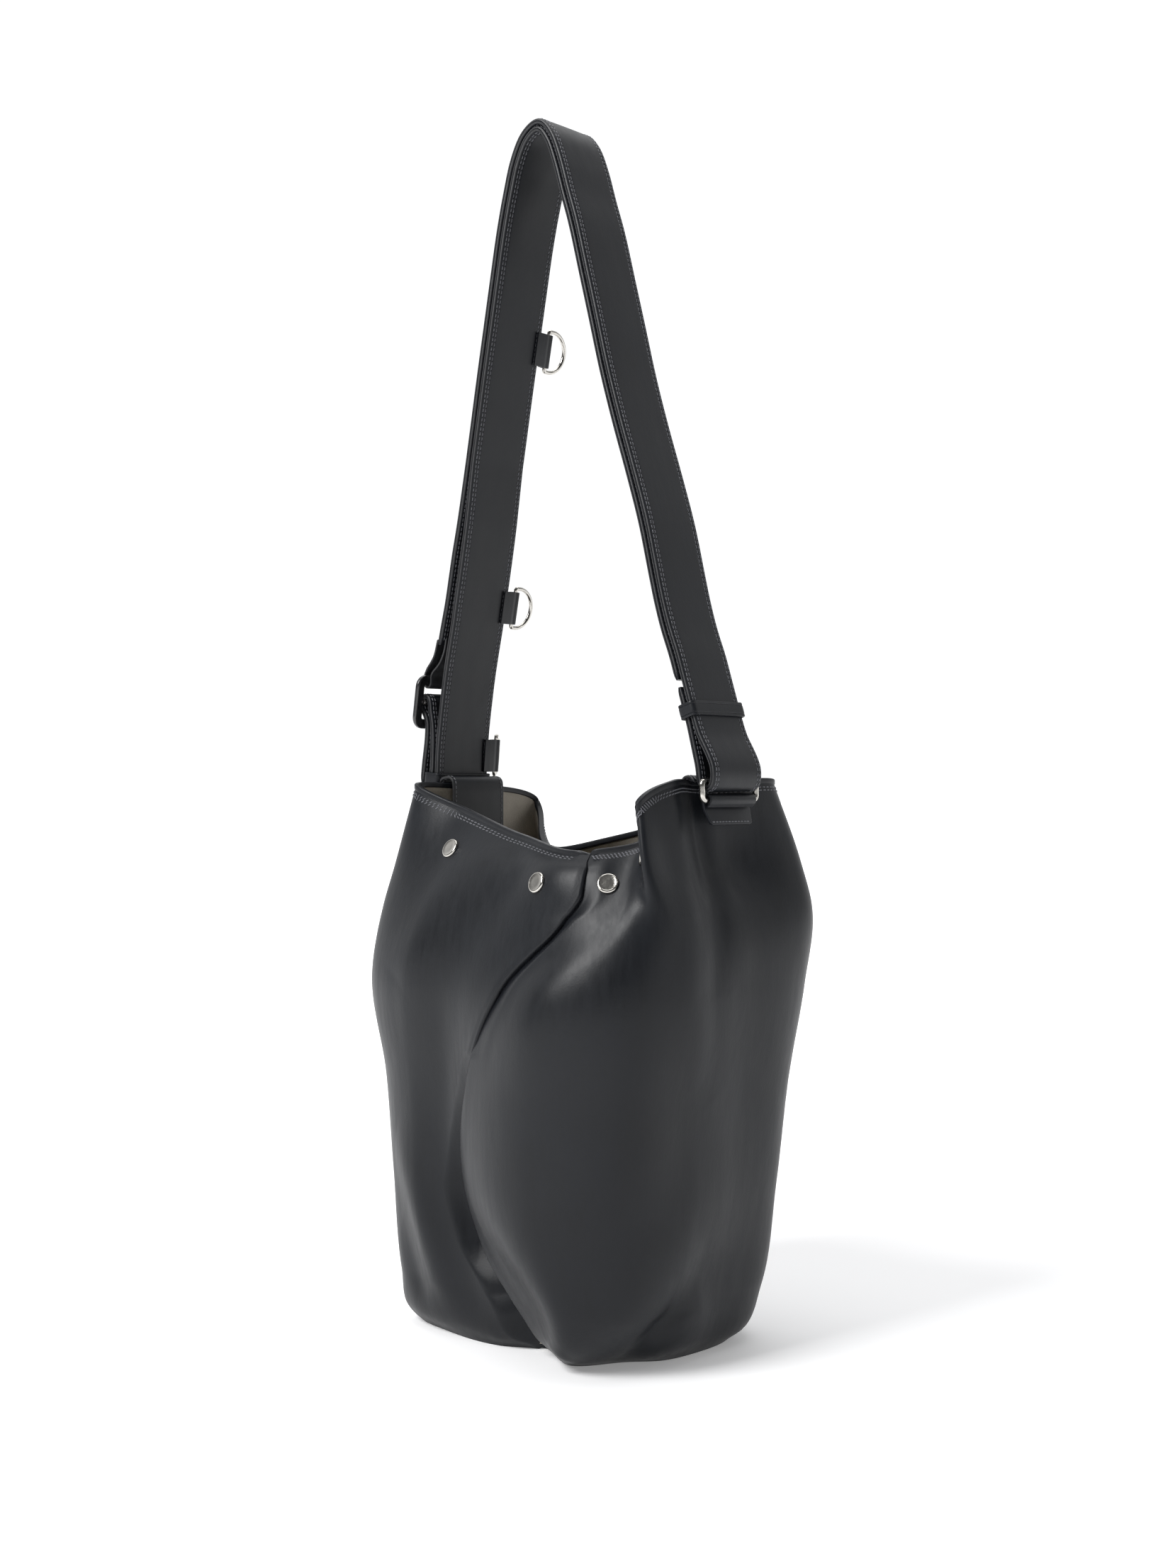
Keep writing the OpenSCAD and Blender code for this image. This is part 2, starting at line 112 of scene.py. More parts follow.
RIM = ((107, -8, 366), (110, 52, 366), (74, 52, 355), (4, 42, 333), (-70, 34, 321),
       (-107, 62, 352), (-107, -20, 363.8), (-111, -58, 364), (-66, -58, 348), (-4, -68, 331),
       (65, -80, 323), (95, -64, 331), (104, -79, 351), (104.5, -44, 366))
CENTRE = (5.2, 11.85, 0.0)


def between(a, b, c, d, t):
    """Cubic from b to c at t, with neighbours a and d. Each end's direction is the mean of the two chords
    that meet there, the shorter one counting more."""
    def length(v):
        return np.maximum(np.linalg.norm(v, axis=-1, keepdims=True), 0.001)

    def heading(p, q, r):
        m, n = length(q - p), length(r - q)
        return (r - q) / n * m / (m + n) + (q - p) / m * n / (m + n)

    span = length(c - b)
    p, q = heading(a, b, c) * span, heading(b, c, d) * span
    t = np.asarray(t)[..., None]
    return (b * (2 * t**3 - 3 * t**2 + 1) + p * (t**3 - 2 * t**2 + t)
            + c * (3 * t**2 - 2 * t**3) + q * (t**3 - t**2))


def round_loop(points, u):
    """The closed smooth curve through points, at u, counted in points."""
    n = len(points)
    i = np.floor(u).astype(int)
    return between(*(points[(i + k) % n] for k in (-1, 0, 1, 2)), u - i)


def smooth_path(points, u):
    """The open smooth curve through points, at u from 0 to the last point's number."""
    points = np.asarray(points, float)
    padded = np.concatenate([[2 * points[0] - points[1]], points, [2 * points[-1] - points[-2]]])
    i = np.clip(np.floor(u).astype(int), 0, len(points) - 2)
    return between(*(padded[i + k] for k in (0, 1, 2, 3)), u - i)


def body_levels():
    rows = [np.array([(x, y, z) for x, y in row], float) for row, z in zip(SECTIONS, SECTION_HEIGHTS)]
    return np.array(rows + [np.array(RIM, float)])


LEVELS = body_levels()


def wall(u, v):
    """The bag's smooth wall in millimetres: a closed curve through each section at u, and a smooth path
    through these nine points at v."""
    u, v = np.broadcast_arrays(np.asarray(u, float), np.asarray(v, float))
    spine = np.array([round_loop(row, u) for row in LEVELS])
    spine = np.concatenate([[2 * spine[0] - spine[1]], spine, [2 * spine[-1] - spine[-2]]])
    i = np.clip(np.floor(v).astype(int), 0, len(LEVELS) - 2)
    a, b, c, d = (np.take_along_axis(spine, (i + k)[None, ..., None], axis=0)[0] for k in range(4))
    p = between(a, b, c, d, v - i)
    p[..., 2] = np.maximum(p[..., 2], 0)
    return p


def unit(v):
    return v / np.maximum(np.linalg.norm(v, axis=-1, keepdims=True), 1e-9)


def wall_frame(u, v, e=0.02):
    """Point, outward normal, and millimetres per unit of u."""
    du = wall(u + e, v) - wall(u - e, v)
    dv = wall(u, np.minimum(v + e, 8)) - wall(u, np.maximum(v - e, 0))
    return wall(u, v), unit(np.cross(du, dv)), np.linalg.norm(du, axis=-1) / (2 * e)


# ---- Meshes

def faces_of(n, m, wrap_n=False, wrap_m=True):
    """Quads of an n by m grid of points, joined round where a side wraps."""
    i = np.arange(n if wrap_n else n - 1)[:, None]
    j = np.arange(m if wrap_m else m - 1)[None, :]
    a, b = i * m + j, i * m + (j + 1) % m
    c, d = (i + 1) % n * m + (j + 1) % m, (i + 1) % n * m + j
    return np.stack(np.broadcast_arrays(a, b, c, d), axis=-1).reshape(-1, 4)


def tube(points, wrap_n=False):
    """A closed skin from rings of points: joined round, or ended with a point in the middle of each end
    ring."""
    points = np.asarray(points, float)
    if not wrap_n:
        ends = [np.repeat(points[k].mean(axis=0)[None], points.shape[1], axis=0)[None] for k in (0, -1)]
        points = np.concatenate([ends[0], points, ends[1]])
    n, m = points.shape[:2]
    return points.reshape(-1, 3), faces_of(n, m, wrap_n)


def leaf(outer, inner, wrap_m=False):
    """A closed skin from two open grids of points, one for each face of the leather, sewn along their
    edges."""
    n, m = outer.shape[:2]
    points = np.concatenate([outer, inner[::-1]])
    quads = faces_of(2 * n, m, True, wrap_m)
    if not wrap_m:
        row = np.arange(n - 1)[:, None]
        for k in (0, m - 1):
            a, b = row * m + k, (2 * n - 1 - row) * m + k
            quads = np.concatenate([quads, np.hstack([a, b, b - m, a + m])])
    return points.reshape(-1, 3), quads


def add_piece(name, parts, finishes, body, strap=False, sharp=35, finish_of=None, replaces=()):
    """One object from (points in mm, quads) parts: doubles merged, faces outwards, in the row frame."""
    count, points, quads = 0, [], []
    for p, q in parts:
        points.append(p)
        quads.append(q + count)
        count += len(p)
    points, quads = np.concatenate(points), np.concatenate(quads)
    shift = np.array(CENTRE) - np.array((0, STRAP_FRONT if strap else 0, 0))
    mesh = bpy.data.meshes.new(name)
    mesh.vertices.add(len(points))
    mesh.vertices.foreach_set("co", ((points + shift) / 1000).astype(np.float32).ravel())
    mesh.loops.add(quads.size)
    mesh.loops.foreach_set("vertex_index", quads.astype(np.int32).ravel())
    mesh.polygons.add(len(quads))
    mesh.polygons.foreach_set("loop_start", np.arange(0, quads.size, 4, dtype=np.int32))
    if finish_of is not None:
        mesh.polygons.foreach_set("material_index", finish_of(points, quads).astype(np.int32))
    mesh.update(calc_edges=True)
    work = bmesh.new()
    work.from_mesh(mesh)
    bmesh.ops.remove_doubles(work, verts=work.verts, dist=1e-6)
    bmesh.ops.dissolve_degenerate(work, edges=work.edges, dist=1e-7)
    bmesh.ops.recalc_face_normals(work, faces=work.faces)
    work.to_mesh(mesh)
    work.free()
    mesh.shade_smooth()
    mesh.set_sharp_from_angle(angle=math.radians(sharp))
    obj = bpy.data.objects.new(name, mesh)
    bpy.context.scene.collection.objects.link(obj)
    for f in finishes:
        mesh.materials.append(bpy.data.materials[f])
    if isinstance(body, str):
        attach(obj, body)
    else:
        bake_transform(obj)
    if replaces:
        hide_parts(*replaces)
    return obj


# ---- Bag wall

# Where the front crease runs, in section points, at each half level from the base up, how far the
# leather rolls over on its left and on its right there, and how much deeper the gully goes (mm)
CREASE = (10.15, 10.05, 9.93, 9.77, 9.56, 9.3, 9.38, 9.6, 9.8, 9.92, 9.97, 9.95, 10.0, 10.15, 10.1, 10.03, 10.0)
LIP_LEFT = (0.5, 0.5, 0.5, 0.5, 0.5, 0.5, 0.5, 0.6, 1.2, 1.9, 2.3, 2.4, 2.3, 2.0, 1.5, 1.0, 0.7)
LIP_RIGHT = (1.5, 3.0, 5.0, 7.0, 8.5, 9.0, 8.5, 6.5, 3.2, 1.2, 0.6, 0.5, 0.5, 0.5, 0.5, 0.5, 0.5)
GULLY = (3, 3, 3, 3, 3, 3, 3, 2.5, 1.5, 0.5, 0.2, 0.2, 0.2, 0.2, 0.4, 0.8, 1.2)


def at_half_levels(table, v):
    return smooth_path(np.array(table)[:, None], 2 * np.asarray(v, float))[..., 0]


def near_line(u, v, line):
    """Distance in mm from (u, v) to a line of (u, v) points, taking a section point as 56 mm and a level
    as 42 mm, and how far along the line that is, from 0 to 1."""
    scale = np.array((56.0, 42.0))
    p = np.stack(np.broadcast_arrays(u, v), axis=-1)
    q = np.array(line, float)
    best = np.full(p.shape[:-1], 1e9)
    where = np.zeros(p.shape[:-1])
    for k in range(len(q) - 1):
        d = (q[k + 1] - q[k]) * scale
        e = p - q[k]
        e = np.stack([np.mod(e[..., 0] + 7, 14) - 7, e[..., 1]], axis=-1) * scale
        t = np.clip((e @ d) / (d @ d), 0, 1)
        r = np.linalg.norm(e - t[..., None] * d, axis=-1)
        where = np.where(r < best, (k + t) / (len(q) - 1), where)
        best = np.minimum(best, r)
    return best, where


def ease(x):
    """0 to 1 without a corner."""
    x = np.clip(x, 0, 1)
    return x * x * (3 - 2 * x)


def folds(u, v):
    """Soft folds as a height in mm: rounded ridges and gullies along listed lines, a bell across and
    fading along, on a slow swell of three sine waves."""
    turn = np.pi * np.asarray(u, float) / 7
    h = 0.5 * np.sin(5 * turn + 0.8 * v) * np.sin(0.9 * v + 1) + 0.35 * np.sin(8 * turn - 1.3 * v)
    h = h + 0.25 * np.sin(12 * turn + 2.4 * v + 1)
    for line, height, width, fade in (
            (((12.95, 8), (12.9, 7), (12.75, 6), (12.8, 5), (13.2, 4.2)), 2.2, 13, True),
            (((13.6, 8), (13.55, 7), (13.35, 6), (13.2, 5), (13.45, 4)), -4.4, 15, True),
            (((11.3, 7.6), (11.5, 7), (11.7, 6), (11.7, 5.2)), -1.4, 18, True),
            (((7.5, 3.4), (7.9, 2.9), (8.25, 2.3), (8.5, 1.5)), 3.6, 15, False),
            (((7.4, 2.5), (7.7, 2.0), (7.9, 1.4)), -2.0, 13, False),
            (((12.0, 0.7), (12.5, 1.4), (13.0, 2.0), (13.5, 2.3), (14.3, 2.3)), -6.0, 13, False),
            (((11.8, 1.9), (12.5, 2.5), (13.2, 2.95), (14.0, 2.9)), 3.0, 17, False),
            (((8.35, 6.7), (8.1, 5.6), (7.9, 5.0)), 2.0, 22, False),
            (((8.9, 7.6), (9.2, 6.9), (9.1, 6.1)), -1.8, 14, False),
            (((10.3, 1.4), (10.9, 1.1), (11.3, 0.7)), 1.1, 6, False),
            (((5.0, 7.6), (4.6, 6.6), (4.4, 5.4)), -3.0, 16, True),
            (((1.6, 7.7), (1.9, 6.6), (2.2, 5.4)), -2.4, 15, True),
            (((3.0, 7.7), (3.1, 6.4), (3.4, 5.0)), -3.2, 18, True),
            (((4.0, 2.2), (3.4, 1.8), (2.8, 2.2)), -1.8, 14, False)):
        r, t = near_line(u, v, line)
        along = (1 - t) ** 0.7 if fade else np.sin(np.pi * np.clip(0.08 + 0.84 * t, 0, 1))
        h = h + height * along * np.exp(-(r / width) ** 2)
    near_base = ease(np.asarray(v, float) / 0.8)
    from_crease = np.abs(np.mod(u - at_half_levels(CREASE, v) + 7, 14) - 7) * 56
    near_crease = ease((from_crease - 4) / 24)
    return h * near_base * near_crease * bpy.context.scene.bag.fold_depth


def panel(side, along, v):
    """One panel's face: the wall from the crease, at along 0, to the middle of the back, at along 1. It
    starts under the crease, rolls over as a half circle of the lip's radius, and then lies on the wall;
    beside a taller lip it dips down to pass beneath it."""
    u0 = at_half_levels(CREASE, v)
    end = 3.0 if side < 0 else 17.0
    lip = at_half_levels(LIP_LEFT if side < 0 else LIP_RIGHT, v)
    other = at_half_levels(LIP_RIGHT if side < 0 else LIP_LEFT, v)
    depth = 2 * np.maximum(lip, other) + at_half_levels(GULLY, v)
    _, _, rate = wall_frame(u0, v)
    span = np.abs(end - u0) * rate
    d = span * along
    roll = np.pi * lip
    t = np.where(d < roll, -lip * np.sin(d / lip), (d - roll) * span / (span - roll))
    h = np.where(d < roll, -lip * (1 + np.cos(np.minimum(d / lip, np.pi))), 0.0)
    width = np.where(lip >= other, 5.0, 10 + 2.2 * other)
    h = h - (depth - 2 * lip) * (1 - ease(np.maximum(t, 0) / width))
    u = u0 + (end - u0) * t / span
    p, out, _ = wall_frame(u, v)
    return p + out * (h + folds(u, v))[..., None], out


def skin(u, v, lift=0.0):
    """A point on the folded wall away from the crease, and its outward normal."""
    p, out, _ = wall_frame(u, v)
    return p + out * (folds(u, v) + lift)[..., None], out


def rows_to(n, lowest=0.0, highest=8.0):
    """n levels spread evenly in height."""
    heights = np.array(SECTION_HEIGHTS + (366,), float)
    lo, hi = np.interp((lowest, highest), np.arange(9), heights)
    return np.interp(np.linspace(lo, hi, n), heights, np.arange(9))


def side_panel(side):
    """Two faces 1.7 mm apart on one grid, close-set by the crease, where the bends are small."""
    w = np.linspace(0, 1, 196)[None, :]
    along = 0.16 * w + 0.84 * w ** 2.1
    v = rows_to(186)[:, None]
    outer, out = panel(side, along, v)
    inner = outer - out * 1.7
    inner[..., 2] = np.maximum(inner[..., 2], 0)
    return leaf(outer, inner)


def lining_shell():
    """The wall moved in, and further in behind the crease."""
    u, v = np.linspace(0, 14, 281)[None, :-1], rows_to(110, 0.45, 8.0)[:, None]
    u0 = at_half_levels(CREASE, v)
    depth = 2 * np.maximum(at_half_levels(LIP_LEFT, v), at_half_levels(LIP_RIGHT, v)) + 1.6
    p, out, rate = wall_frame(u, v)
    t = (u - u0) * rate
    h = folds(u, v) - (depth + 0.5) * np.exp(-(t / (10 + depth)) ** 2)
    return leaf(p + out * (h - 1.9)[..., None], p + out * (h - 2.7)[..., None], wrap_m=True)


def plate(v, inset, low, high):
    """A flat plate with rounded edges, inside the wall's outline at v: rings drawn in towards the middle."""
    u = np.linspace(0, 14, 181)[:-1]
    p, out, _ = wall_frame(u, np.full_like(u, v))
    edge = p[:, :2] - unit(out[:, :2]) * inset
    middle = edge.mean(axis=0)
    rings = []
    for share, z in ((0.0, low), (0.5, low), (0.9, low), (0.985, low), (1.0, low + (high - low) * 0.3),
                     (1.0, low + (high - low) * 0.7), (0.985, high), (0.9, high), (0.5, high), (0.0, high)):
        rings.append(np.column_stack([middle + (edge - middle) * share, np.full(len(u), z)]))
    return tube(np.array(rings))


def bar_profile(a, b, r, steps=4):
    """A rounded rectangle of half-width a and half-height b, with corner radius r, going round once."""
    out = []
    for cx, cy, start in ((a - r, b - r, 0), (r - a, b - r, 90), (r - a, r - b, 180), (a - r, r - b, 270)):
        t = np.radians(start + np.linspace(0, 90, steps + 1))
        out.append(np.column_stack([cx + r * np.cos(t), cy + r * np.sin(t)]))
    return np.concatenate(out)


def carried(path, across, up, profile, wrap_n=False):
    """A profile carried along a path: each ring is the path's point plus the profile's two sizes along
    across and up. Profile may change from ring to ring."""
    profile = np.broadcast_to(profile, (len(path),) + np.shape(profile)[-2:])
    points = path[:, None] + profile[..., :1] * across[:, None] + profile[..., 1:] * up[:, None]
    return tube(points, wrap_n)


def rim_frame(n):
    """Points along the mouth, with outward and upward directions. The rim dips into the crease as a
    narrow bell."""
    u = np.linspace(0, 14, n, endpoint=False)
    p, out = skin(u, np.full(n, 8.0))
    p = p - out * (3.2 * np.exp(-((u - 10) * 56 / 4.5) ** 2))[:, None]
    tangent = unit(np.roll(p, -1, axis=0) - np.roll(p, 1, axis=0))
    up = unit(np.array((0, 0, 1.0)) - tangent * tangent[:, 2:])
    return p, unit(np.cross(tangent, up)), up


def rim_binding():
    p, out, up = rim_frame(620)
    return carried(p - out * 1.4, out, up, bar_profile(2.1, 1.9, 0.9) + (0, 0.5), wrap_n=True)


# ---- Stitches

def stitches(centres, tangents, normals, pitch, width):
    """One spindle with six sides and three rings for each stitch: centre plus its length along the seam,
    its width across and a low height off the leather."""
    a = np.radians(np.arange(6) * 60)
    stations = ((-0.42, 0.0), (-0.3, 0.8), (0.0, 1.0), (0.3, 0.8), (0.42, 0.0))
    base = np.array([[(s * pitch, r * np.cos(t) * width / 2, r * np.sin(t) * width * 0.42) for t in a]
                     for s, r in stations])
    side = np.cross(normals, tangents)
    pts = (centres[:, None, None] + base[None, ..., :1] * tangents[:, None, None]
           + base[None, ..., 1:2] * side[:, None, None] + base[None, ..., 2:] * normals[:, None, None])
    quads = faces_of(5, 6)
    k = np.arange(len(centres))[:, None, None] * 30
    return pts.reshape(-1, 3), (quads[None] + k).reshape(-1, 4)


def spaced(points, pitch):
    """Places along a line of points, a pitch apart, with directions."""
    step = np.linalg.norm(np.diff(points, axis=0), axis=1)
    s = np.concatenate([[0], np.cumsum(step)])
    at = np.arange(pitch / 2, s[-1], pitch)
    p = np.column_stack([np.interp(at, s, points[:, k]) for k in range(3)])
    q = np.column_stack([np.interp(at + 0.3, s, points[:, k]) for k in range(3)])
    r = np.column_stack([np.interp(at - 0.3, s, points[:, k]) for k in range(3)])
    return p, unit(q - r), at / s[-1]


# ---- Strap

STRAP_FRONT = 8
BELT_T = 4.4
LAYER = 4.8
RIGHT_RING = np.array((119.5, 356.0))
LEFT_RING = np.array((-124.5, 340.0))
RING_H = 12
GRIP = 5.2
BAR = np.array((-128.6, 423.5))
PAIR = ((-86.5, 577), (-80.3, 610), (-74.2, 643), (-67.8, 676), (-61.4, 709), (-54.8, 742),
        (-48.7, 766), (-41.5, 788), (-33, 801), (-21.5, 806), (-13, 798), (-5.5, 782), (2.2, 758),
        (9, 738), (18.3, 704), (27.5, 670), (36.8, 635), (47.3, 601), (58.8, 567), (69.6, 533),
        (77.8, 500), (82.4, 482), (88, 464), (94.6, 447), (99.4, 432), (103.9, 418), (108.4, 404))


def traced(points, steps):
    return smooth_path(np.array(points, float), np.linspace(0, len(points) - 1, (len(points) - 1) * steps + 1))


def normal_of(path):
    """To the right of a path in X and Z."""
    d = np.gradient(path, axis=0)
    d = d / np.linalg.norm(d, axis=1, keepdims=True)
    return np.column_stack([d[:, 1], -d[:, 0]])


def arc(centre, r, start, end, steps):
    t = np.radians(np.linspace(start, end, steps + 1))
    return [tuple(p) for p in np.column_stack([centre[0] + r * np.cos(t), centre[1] + r * np.sin(t)])]


def belt_paths():
    """Middle lines of the two belts in X and Z. Over the top each is the pair's line moved out or in by
    half a layer; below, each turns round its ring."""
    pair = traced(PAIR, 3)
    n = normal_of(pair)
    outside, inside = pair - n * LAYER / 2, pair + n * LAYER / 2
    outer = np.concatenate([
        traced(((-114.3, 463), (-111.4, 475), (-107, 492), (-103.5, 509), (-100, 526), (-96, 543), (-92.4, 560)), 3),
        outside[1:],
        traced([(113.8, 396.5), (118, 389.5), (122, 382.5), (124.9, 375)]
               + arc(RIGHT_RING + (0, RING_H), GRIP, 8, -172, 8) + [(113.2, 376), (110.6, 386), (108.3, 395)], 3),
        inside[::-1][:6]])
    inner = np.concatenate([
        inside[1:-6][::-1],
        traced([(-88, 547), (-91, 530), (-94.4, 512), (-97.8, 495), (-101.2, 477), (-105, 460), (-108.8, 442),
                (-111.7, 425), (-114.4, 407), (-116.4, 389), (-117.2, 375)]
               + arc(LEFT_RING + (0, RING_H), GRIP, 8, -184, 8)
               + [(-127.4, 359), (-124.2, 366), (-122.4, 374), (-121.6, 386), (-121.3, 398), (-121.8, 408)]
               + arc(BAR, 4.6, -15, 185, 9)
               + [(-132, 418.6), (-128.7, 414.4), (-127, 410), (-126.8, 403), (-128, 392), (-130, 380),
                  (-131.4, 367)], 3)])
    return outer, inner


def smooth_line(path, spacing):
    """The same line with even steps, rounded by averaging each point with its neighbours."""
    s = np.concatenate([[0], np.cumsum(np.linalg.norm(np.diff(path, axis=0), axis=1))])
    at = np.linspace(0, s[-1], int(s[-1] / spacing) + 1)
    p = np.column_stack([np.interp(at, s, path[:, 0]), np.interp(at, s, path[:, 1])])
    for _ in range(2):
        p[1:-1] = (p[:-2] + 2 * p[1:-1] + p[2:]) / 4
    return p


ROWS_IN = (2.3, 4.7)         # the two stitch rows, from a belt's edge


def belt_profile():
    """Half a belt: a flat face with a shallow gutter under each stitch row, a rounded edge and the groove
    between its two leathers, then mirrored."""
    y = np.array((0, 6, 12, 17, 19, 19.6, 20.0, 20.3, 20.6, 21.2, 21.9, 22.4, 22.7, 23.0, 23.6, 24.2, 24.7, 24.95))
    z = 2.2 - 0.12 * (y / 20) ** 2
    for row in ROWS_IN:
        z -= 0.28 * np.exp(-((25 - row - y) / 0.45) ** 2)
    z[-4:] = (2.0, 1.85, 1.5, 1.0)
    edge = np.array(((25.0, 0.45), (24.55, 0.0), (25.0, -0.45)))
    right = np.concatenate([np.column_stack([y, z]), edge, np.column_stack([y, -z])[::-1]])
    return np.concatenate([right, (right * (-1, 1))[::-1][1:-1]])


def strip_grid(path, profile):
    """A belt's frame along the path: its points, with Y across and the path's own normal for thickness. The profile
    argument is not used.
    """
    n = normal_of(path)
    across = np.tile((0.0, 1.0, 0.0), (len(path), 1))
    up = np.column_stack([-n[:, 0], np.zeros(len(path)), -n[:, 1]])
    points = np.column_stack([path[:, 0], np.zeros(len(path)), path[:, 1]])
    return points, across, up


def belt(path):
    points, across, up = strip_grid(path, None)
    profile = belt_profile()
    taper = np.ones((len(path), 1, 2))
    taper[(0, -1), :, :] = (0.985, 0.55)
    taper[(1, -2), :, :] = (0.995, 0.9)
    return carried(points, across, up, profile[None] * taper)


def belt_rows(path, pitch, width, skip=()):
    """Stitch rows on both faces, two by each edge."""
    points, across, up = strip_grid(path, None)
    parts = []
    for face in (1, -1):
        for edge in (1, -1):
            for row in ROWS_IN:
                line = points + across * edge * (25 - row) + up * face * (BELT_T / 2 - 0.22)
                p, t, share = spaced(line, pitch)
                s = np.linspace(0, 1, len(up))
                n = unit(np.column_stack([np.interp(share, s, up[:, k]) for k in range(3)])) * face
                keep = (share > 0.004) & (share < 0.996)
                parts.append(stitches(p[keep], t[keep], n[keep], pitch, width))
    return parts


def round_ring(corners, radius, steps=6):
    """A closed flat line with rounded corners: each corner of the outline is a quarter or other arc of
    the radius."""
    out = []
    n = len(corners)
    for k in range(n):
        a, b, c = (np.array(corners[(k + i) % n], float) for i in (-1, 0, 1))
        p, q = (a - b) / np.linalg.norm(a - b), (c - b) / np.linalg.norm(c - b)
        half = math.acos(np.clip(p @ q, -1, 1)) / 2
        run = radius / math.tan(half)
        centre = b + (p + q) / np.linalg.norm(p + q) * radius / math.sin(half)
        start, end = b + p * run - centre, b + q * run - centre
        a0 = math.atan2(start[1], start[0])
        turn = (math.atan2(end[1], end[0]) - a0 + math.pi) % (2 * math.pi) - math.pi
        t = a0 + turn * np.linspace(0, 1, steps + 1)
        out.append(centre + radius * np.column_stack([np.cos(t), np.sin(t)]))
    return np.concatenate(out)


def densify(line, spacing, closed=True):
    line = np.vstack([line, line[:1]]) if closed else line
    s = np.concatenate([[0], np.cumsum(np.linalg.norm(np.diff(line, axis=0), axis=1))])
    at = np.linspace(0, s[-1], max(int(s[-1] / spacing), 8) + 1)
    at = at[:-1] if closed else at
    return np.column_stack([np.interp(at, s, line[:, k]) for k in range(2)])


def flat_ring(line, plane_x, plane_y, origin, profile):
    """A profile carried round a closed flat line. The plane's two directions and an origin place it; the
    profile's first size points out of the ring and its second along the plane's normal."""
    plane_x, plane_y, origin = (np.array(a, float) for a in (plane_x, plane_y, origin))
    d = np.roll(line, -1, axis=0) - np.roll(line, 1, axis=0)
    d = d / np.linalg.norm(d, axis=1, keepdims=True)
    out = d[:, 1:] * plane_x - d[:, :1] * plane_y
    path = origin + line[:, :1] * plane_x + line[:, 1:] * plane_y
    normal = np.tile(np.cross(plane_x, plane_y), (len(line), 1))
    return carried(path, out, normal, profile, wrap_n=True)


def circle(r, n=20):
    t = np.linspace(0, 2 * np.pi, n, endpoint=False)
    return np.column_stack([r * np.cos(t), r * np.sin(t)])


def turned(profile, origin, axis, n=48):
    """A turned shape: (radius, height) pairs going round an axis."""
    axis = unit(np.array(axis, float))
    a = unit(np.cross(axis, (0.0, 0.0, 1.0) if abs(axis[2]) < 0.9 else (1.0, 0.0, 0.0)))
    b = np.cross(axis, a)
    t = np.linspace(0, 2 * np.pi, n, endpoint=False)[None, :, None]
    r, h = (np.array(profile, float)[:, k][:, None, None] for k in (0, 1))
    return tube(np.array(origin) + r * (np.cos(t) * a + np.sin(t) * b) + h * axis)


def leather_strip(path, half_width, thickness, corner=0.5, step=1.0):
    """A strip of leather: a rounded rectangle along a path in X and Z, as wide as half_width says at each
    share of its length, with ends rounded down."""
    path = smooth_line(np.array(path, float), step)
    points, across, up = strip_grid(path, None)
    s = np.linspace(0, 1, len(path))
    w = half_width(s) if callable(half_width) else np.full(len(path), float(half_width))
    base = bar_profile(1.0, thickness / 2, corner if corner < thickness / 2 else thickness / 2.2)
    base[:, 0] = np.sign(base[:, 0]) * (1 - (1 - np.abs(base[:, 0])) / 20)
    profile = base[None] * np.stack([w, np.ones_like(w)], axis=1)[:, None]
    profile[(0, -1), :, :] *= (0.985, 0.6)
    return carried(points, across, up, profile), points, up


def tilted(c, degrees):
    """X, Y and Z directions of a piece that leans with the strap about Y."""
    t = math.radians(degrees)
    return (math.cos(t), 0, -math.sin(t)), (0, 1, 0), (math.sin(t), 0, math.cos(t))


def keeper(c, lean, deep, room):
    """A band 9.5 mm tall, pressed with a line along both edges, round a rounded rectangle."""
    x, y, z = (np.array(a, float) for a in tilted(c, lean))
    a, b = deep / 2 + room + 0.75, 25 + room + 0.75
    line = densify(round_ring(((a, -b), (a, b), (-a, b), (-a, -b)), 2.0), 1.2)
    h = np.array((-4.75, -4.55, -4.0, -3.3, -2.95, -2.6, -1.5, 0, 1.5, 2.6, 2.95, 3.3, 4.0, 4.55, 4.75))
    out = np.array((0.2, 0.6, 0.78, 0.78, 0.5, 0.78, 0.82, 0.84, 0.82, 0.78, 0.5, 0.78, 0.78, 0.6, 0.2))
    profile = np.concatenate([np.column_stack([out, h]), np.column_stack([np.full(2, -0.72), (4.6, -4.6)])])
    return flat_ring(line, x, y, (c[0], 0, c[1]), profile)


DEES = ((-66.4, 670, 11, 0), (-98.4, 491.5, 11, 0), (-116.5, 386.5, 5, 38))
DEE_Y = 34.0


def dee_frame(k):
    """Origin on the straight bar, and the directions away from the belt, across and along the bar."""
    x, z, lean, rest = DEES[k]
    ax, ay, az = (np.array(a, float) for a in tilted(None, lean))
    t = math.radians(rest)
    return (np.array((x, 0, z)) + ay * DEE_Y, ax, ay, az,
            ay * math.cos(t) - ax * math.sin(t))


def dee_ring(k):
    """A bar and a half circle of the same wire."""
    o, ax, ay, az, away = dee_frame(k)
    t = np.radians(np.linspace(90, -90, 40))
    bow = np.column_stack([14 * np.cos(t) + 4, 14 * np.sin(t)])
    line = np.vstack([(0.6, 13.9), bow, (0.6, -13.9), (0.0, -13.3), (0.0, 13.3)])
    line = densify(line, 0.9)
    return flat_ring(line, away, az, o, circle(1.5, 16))


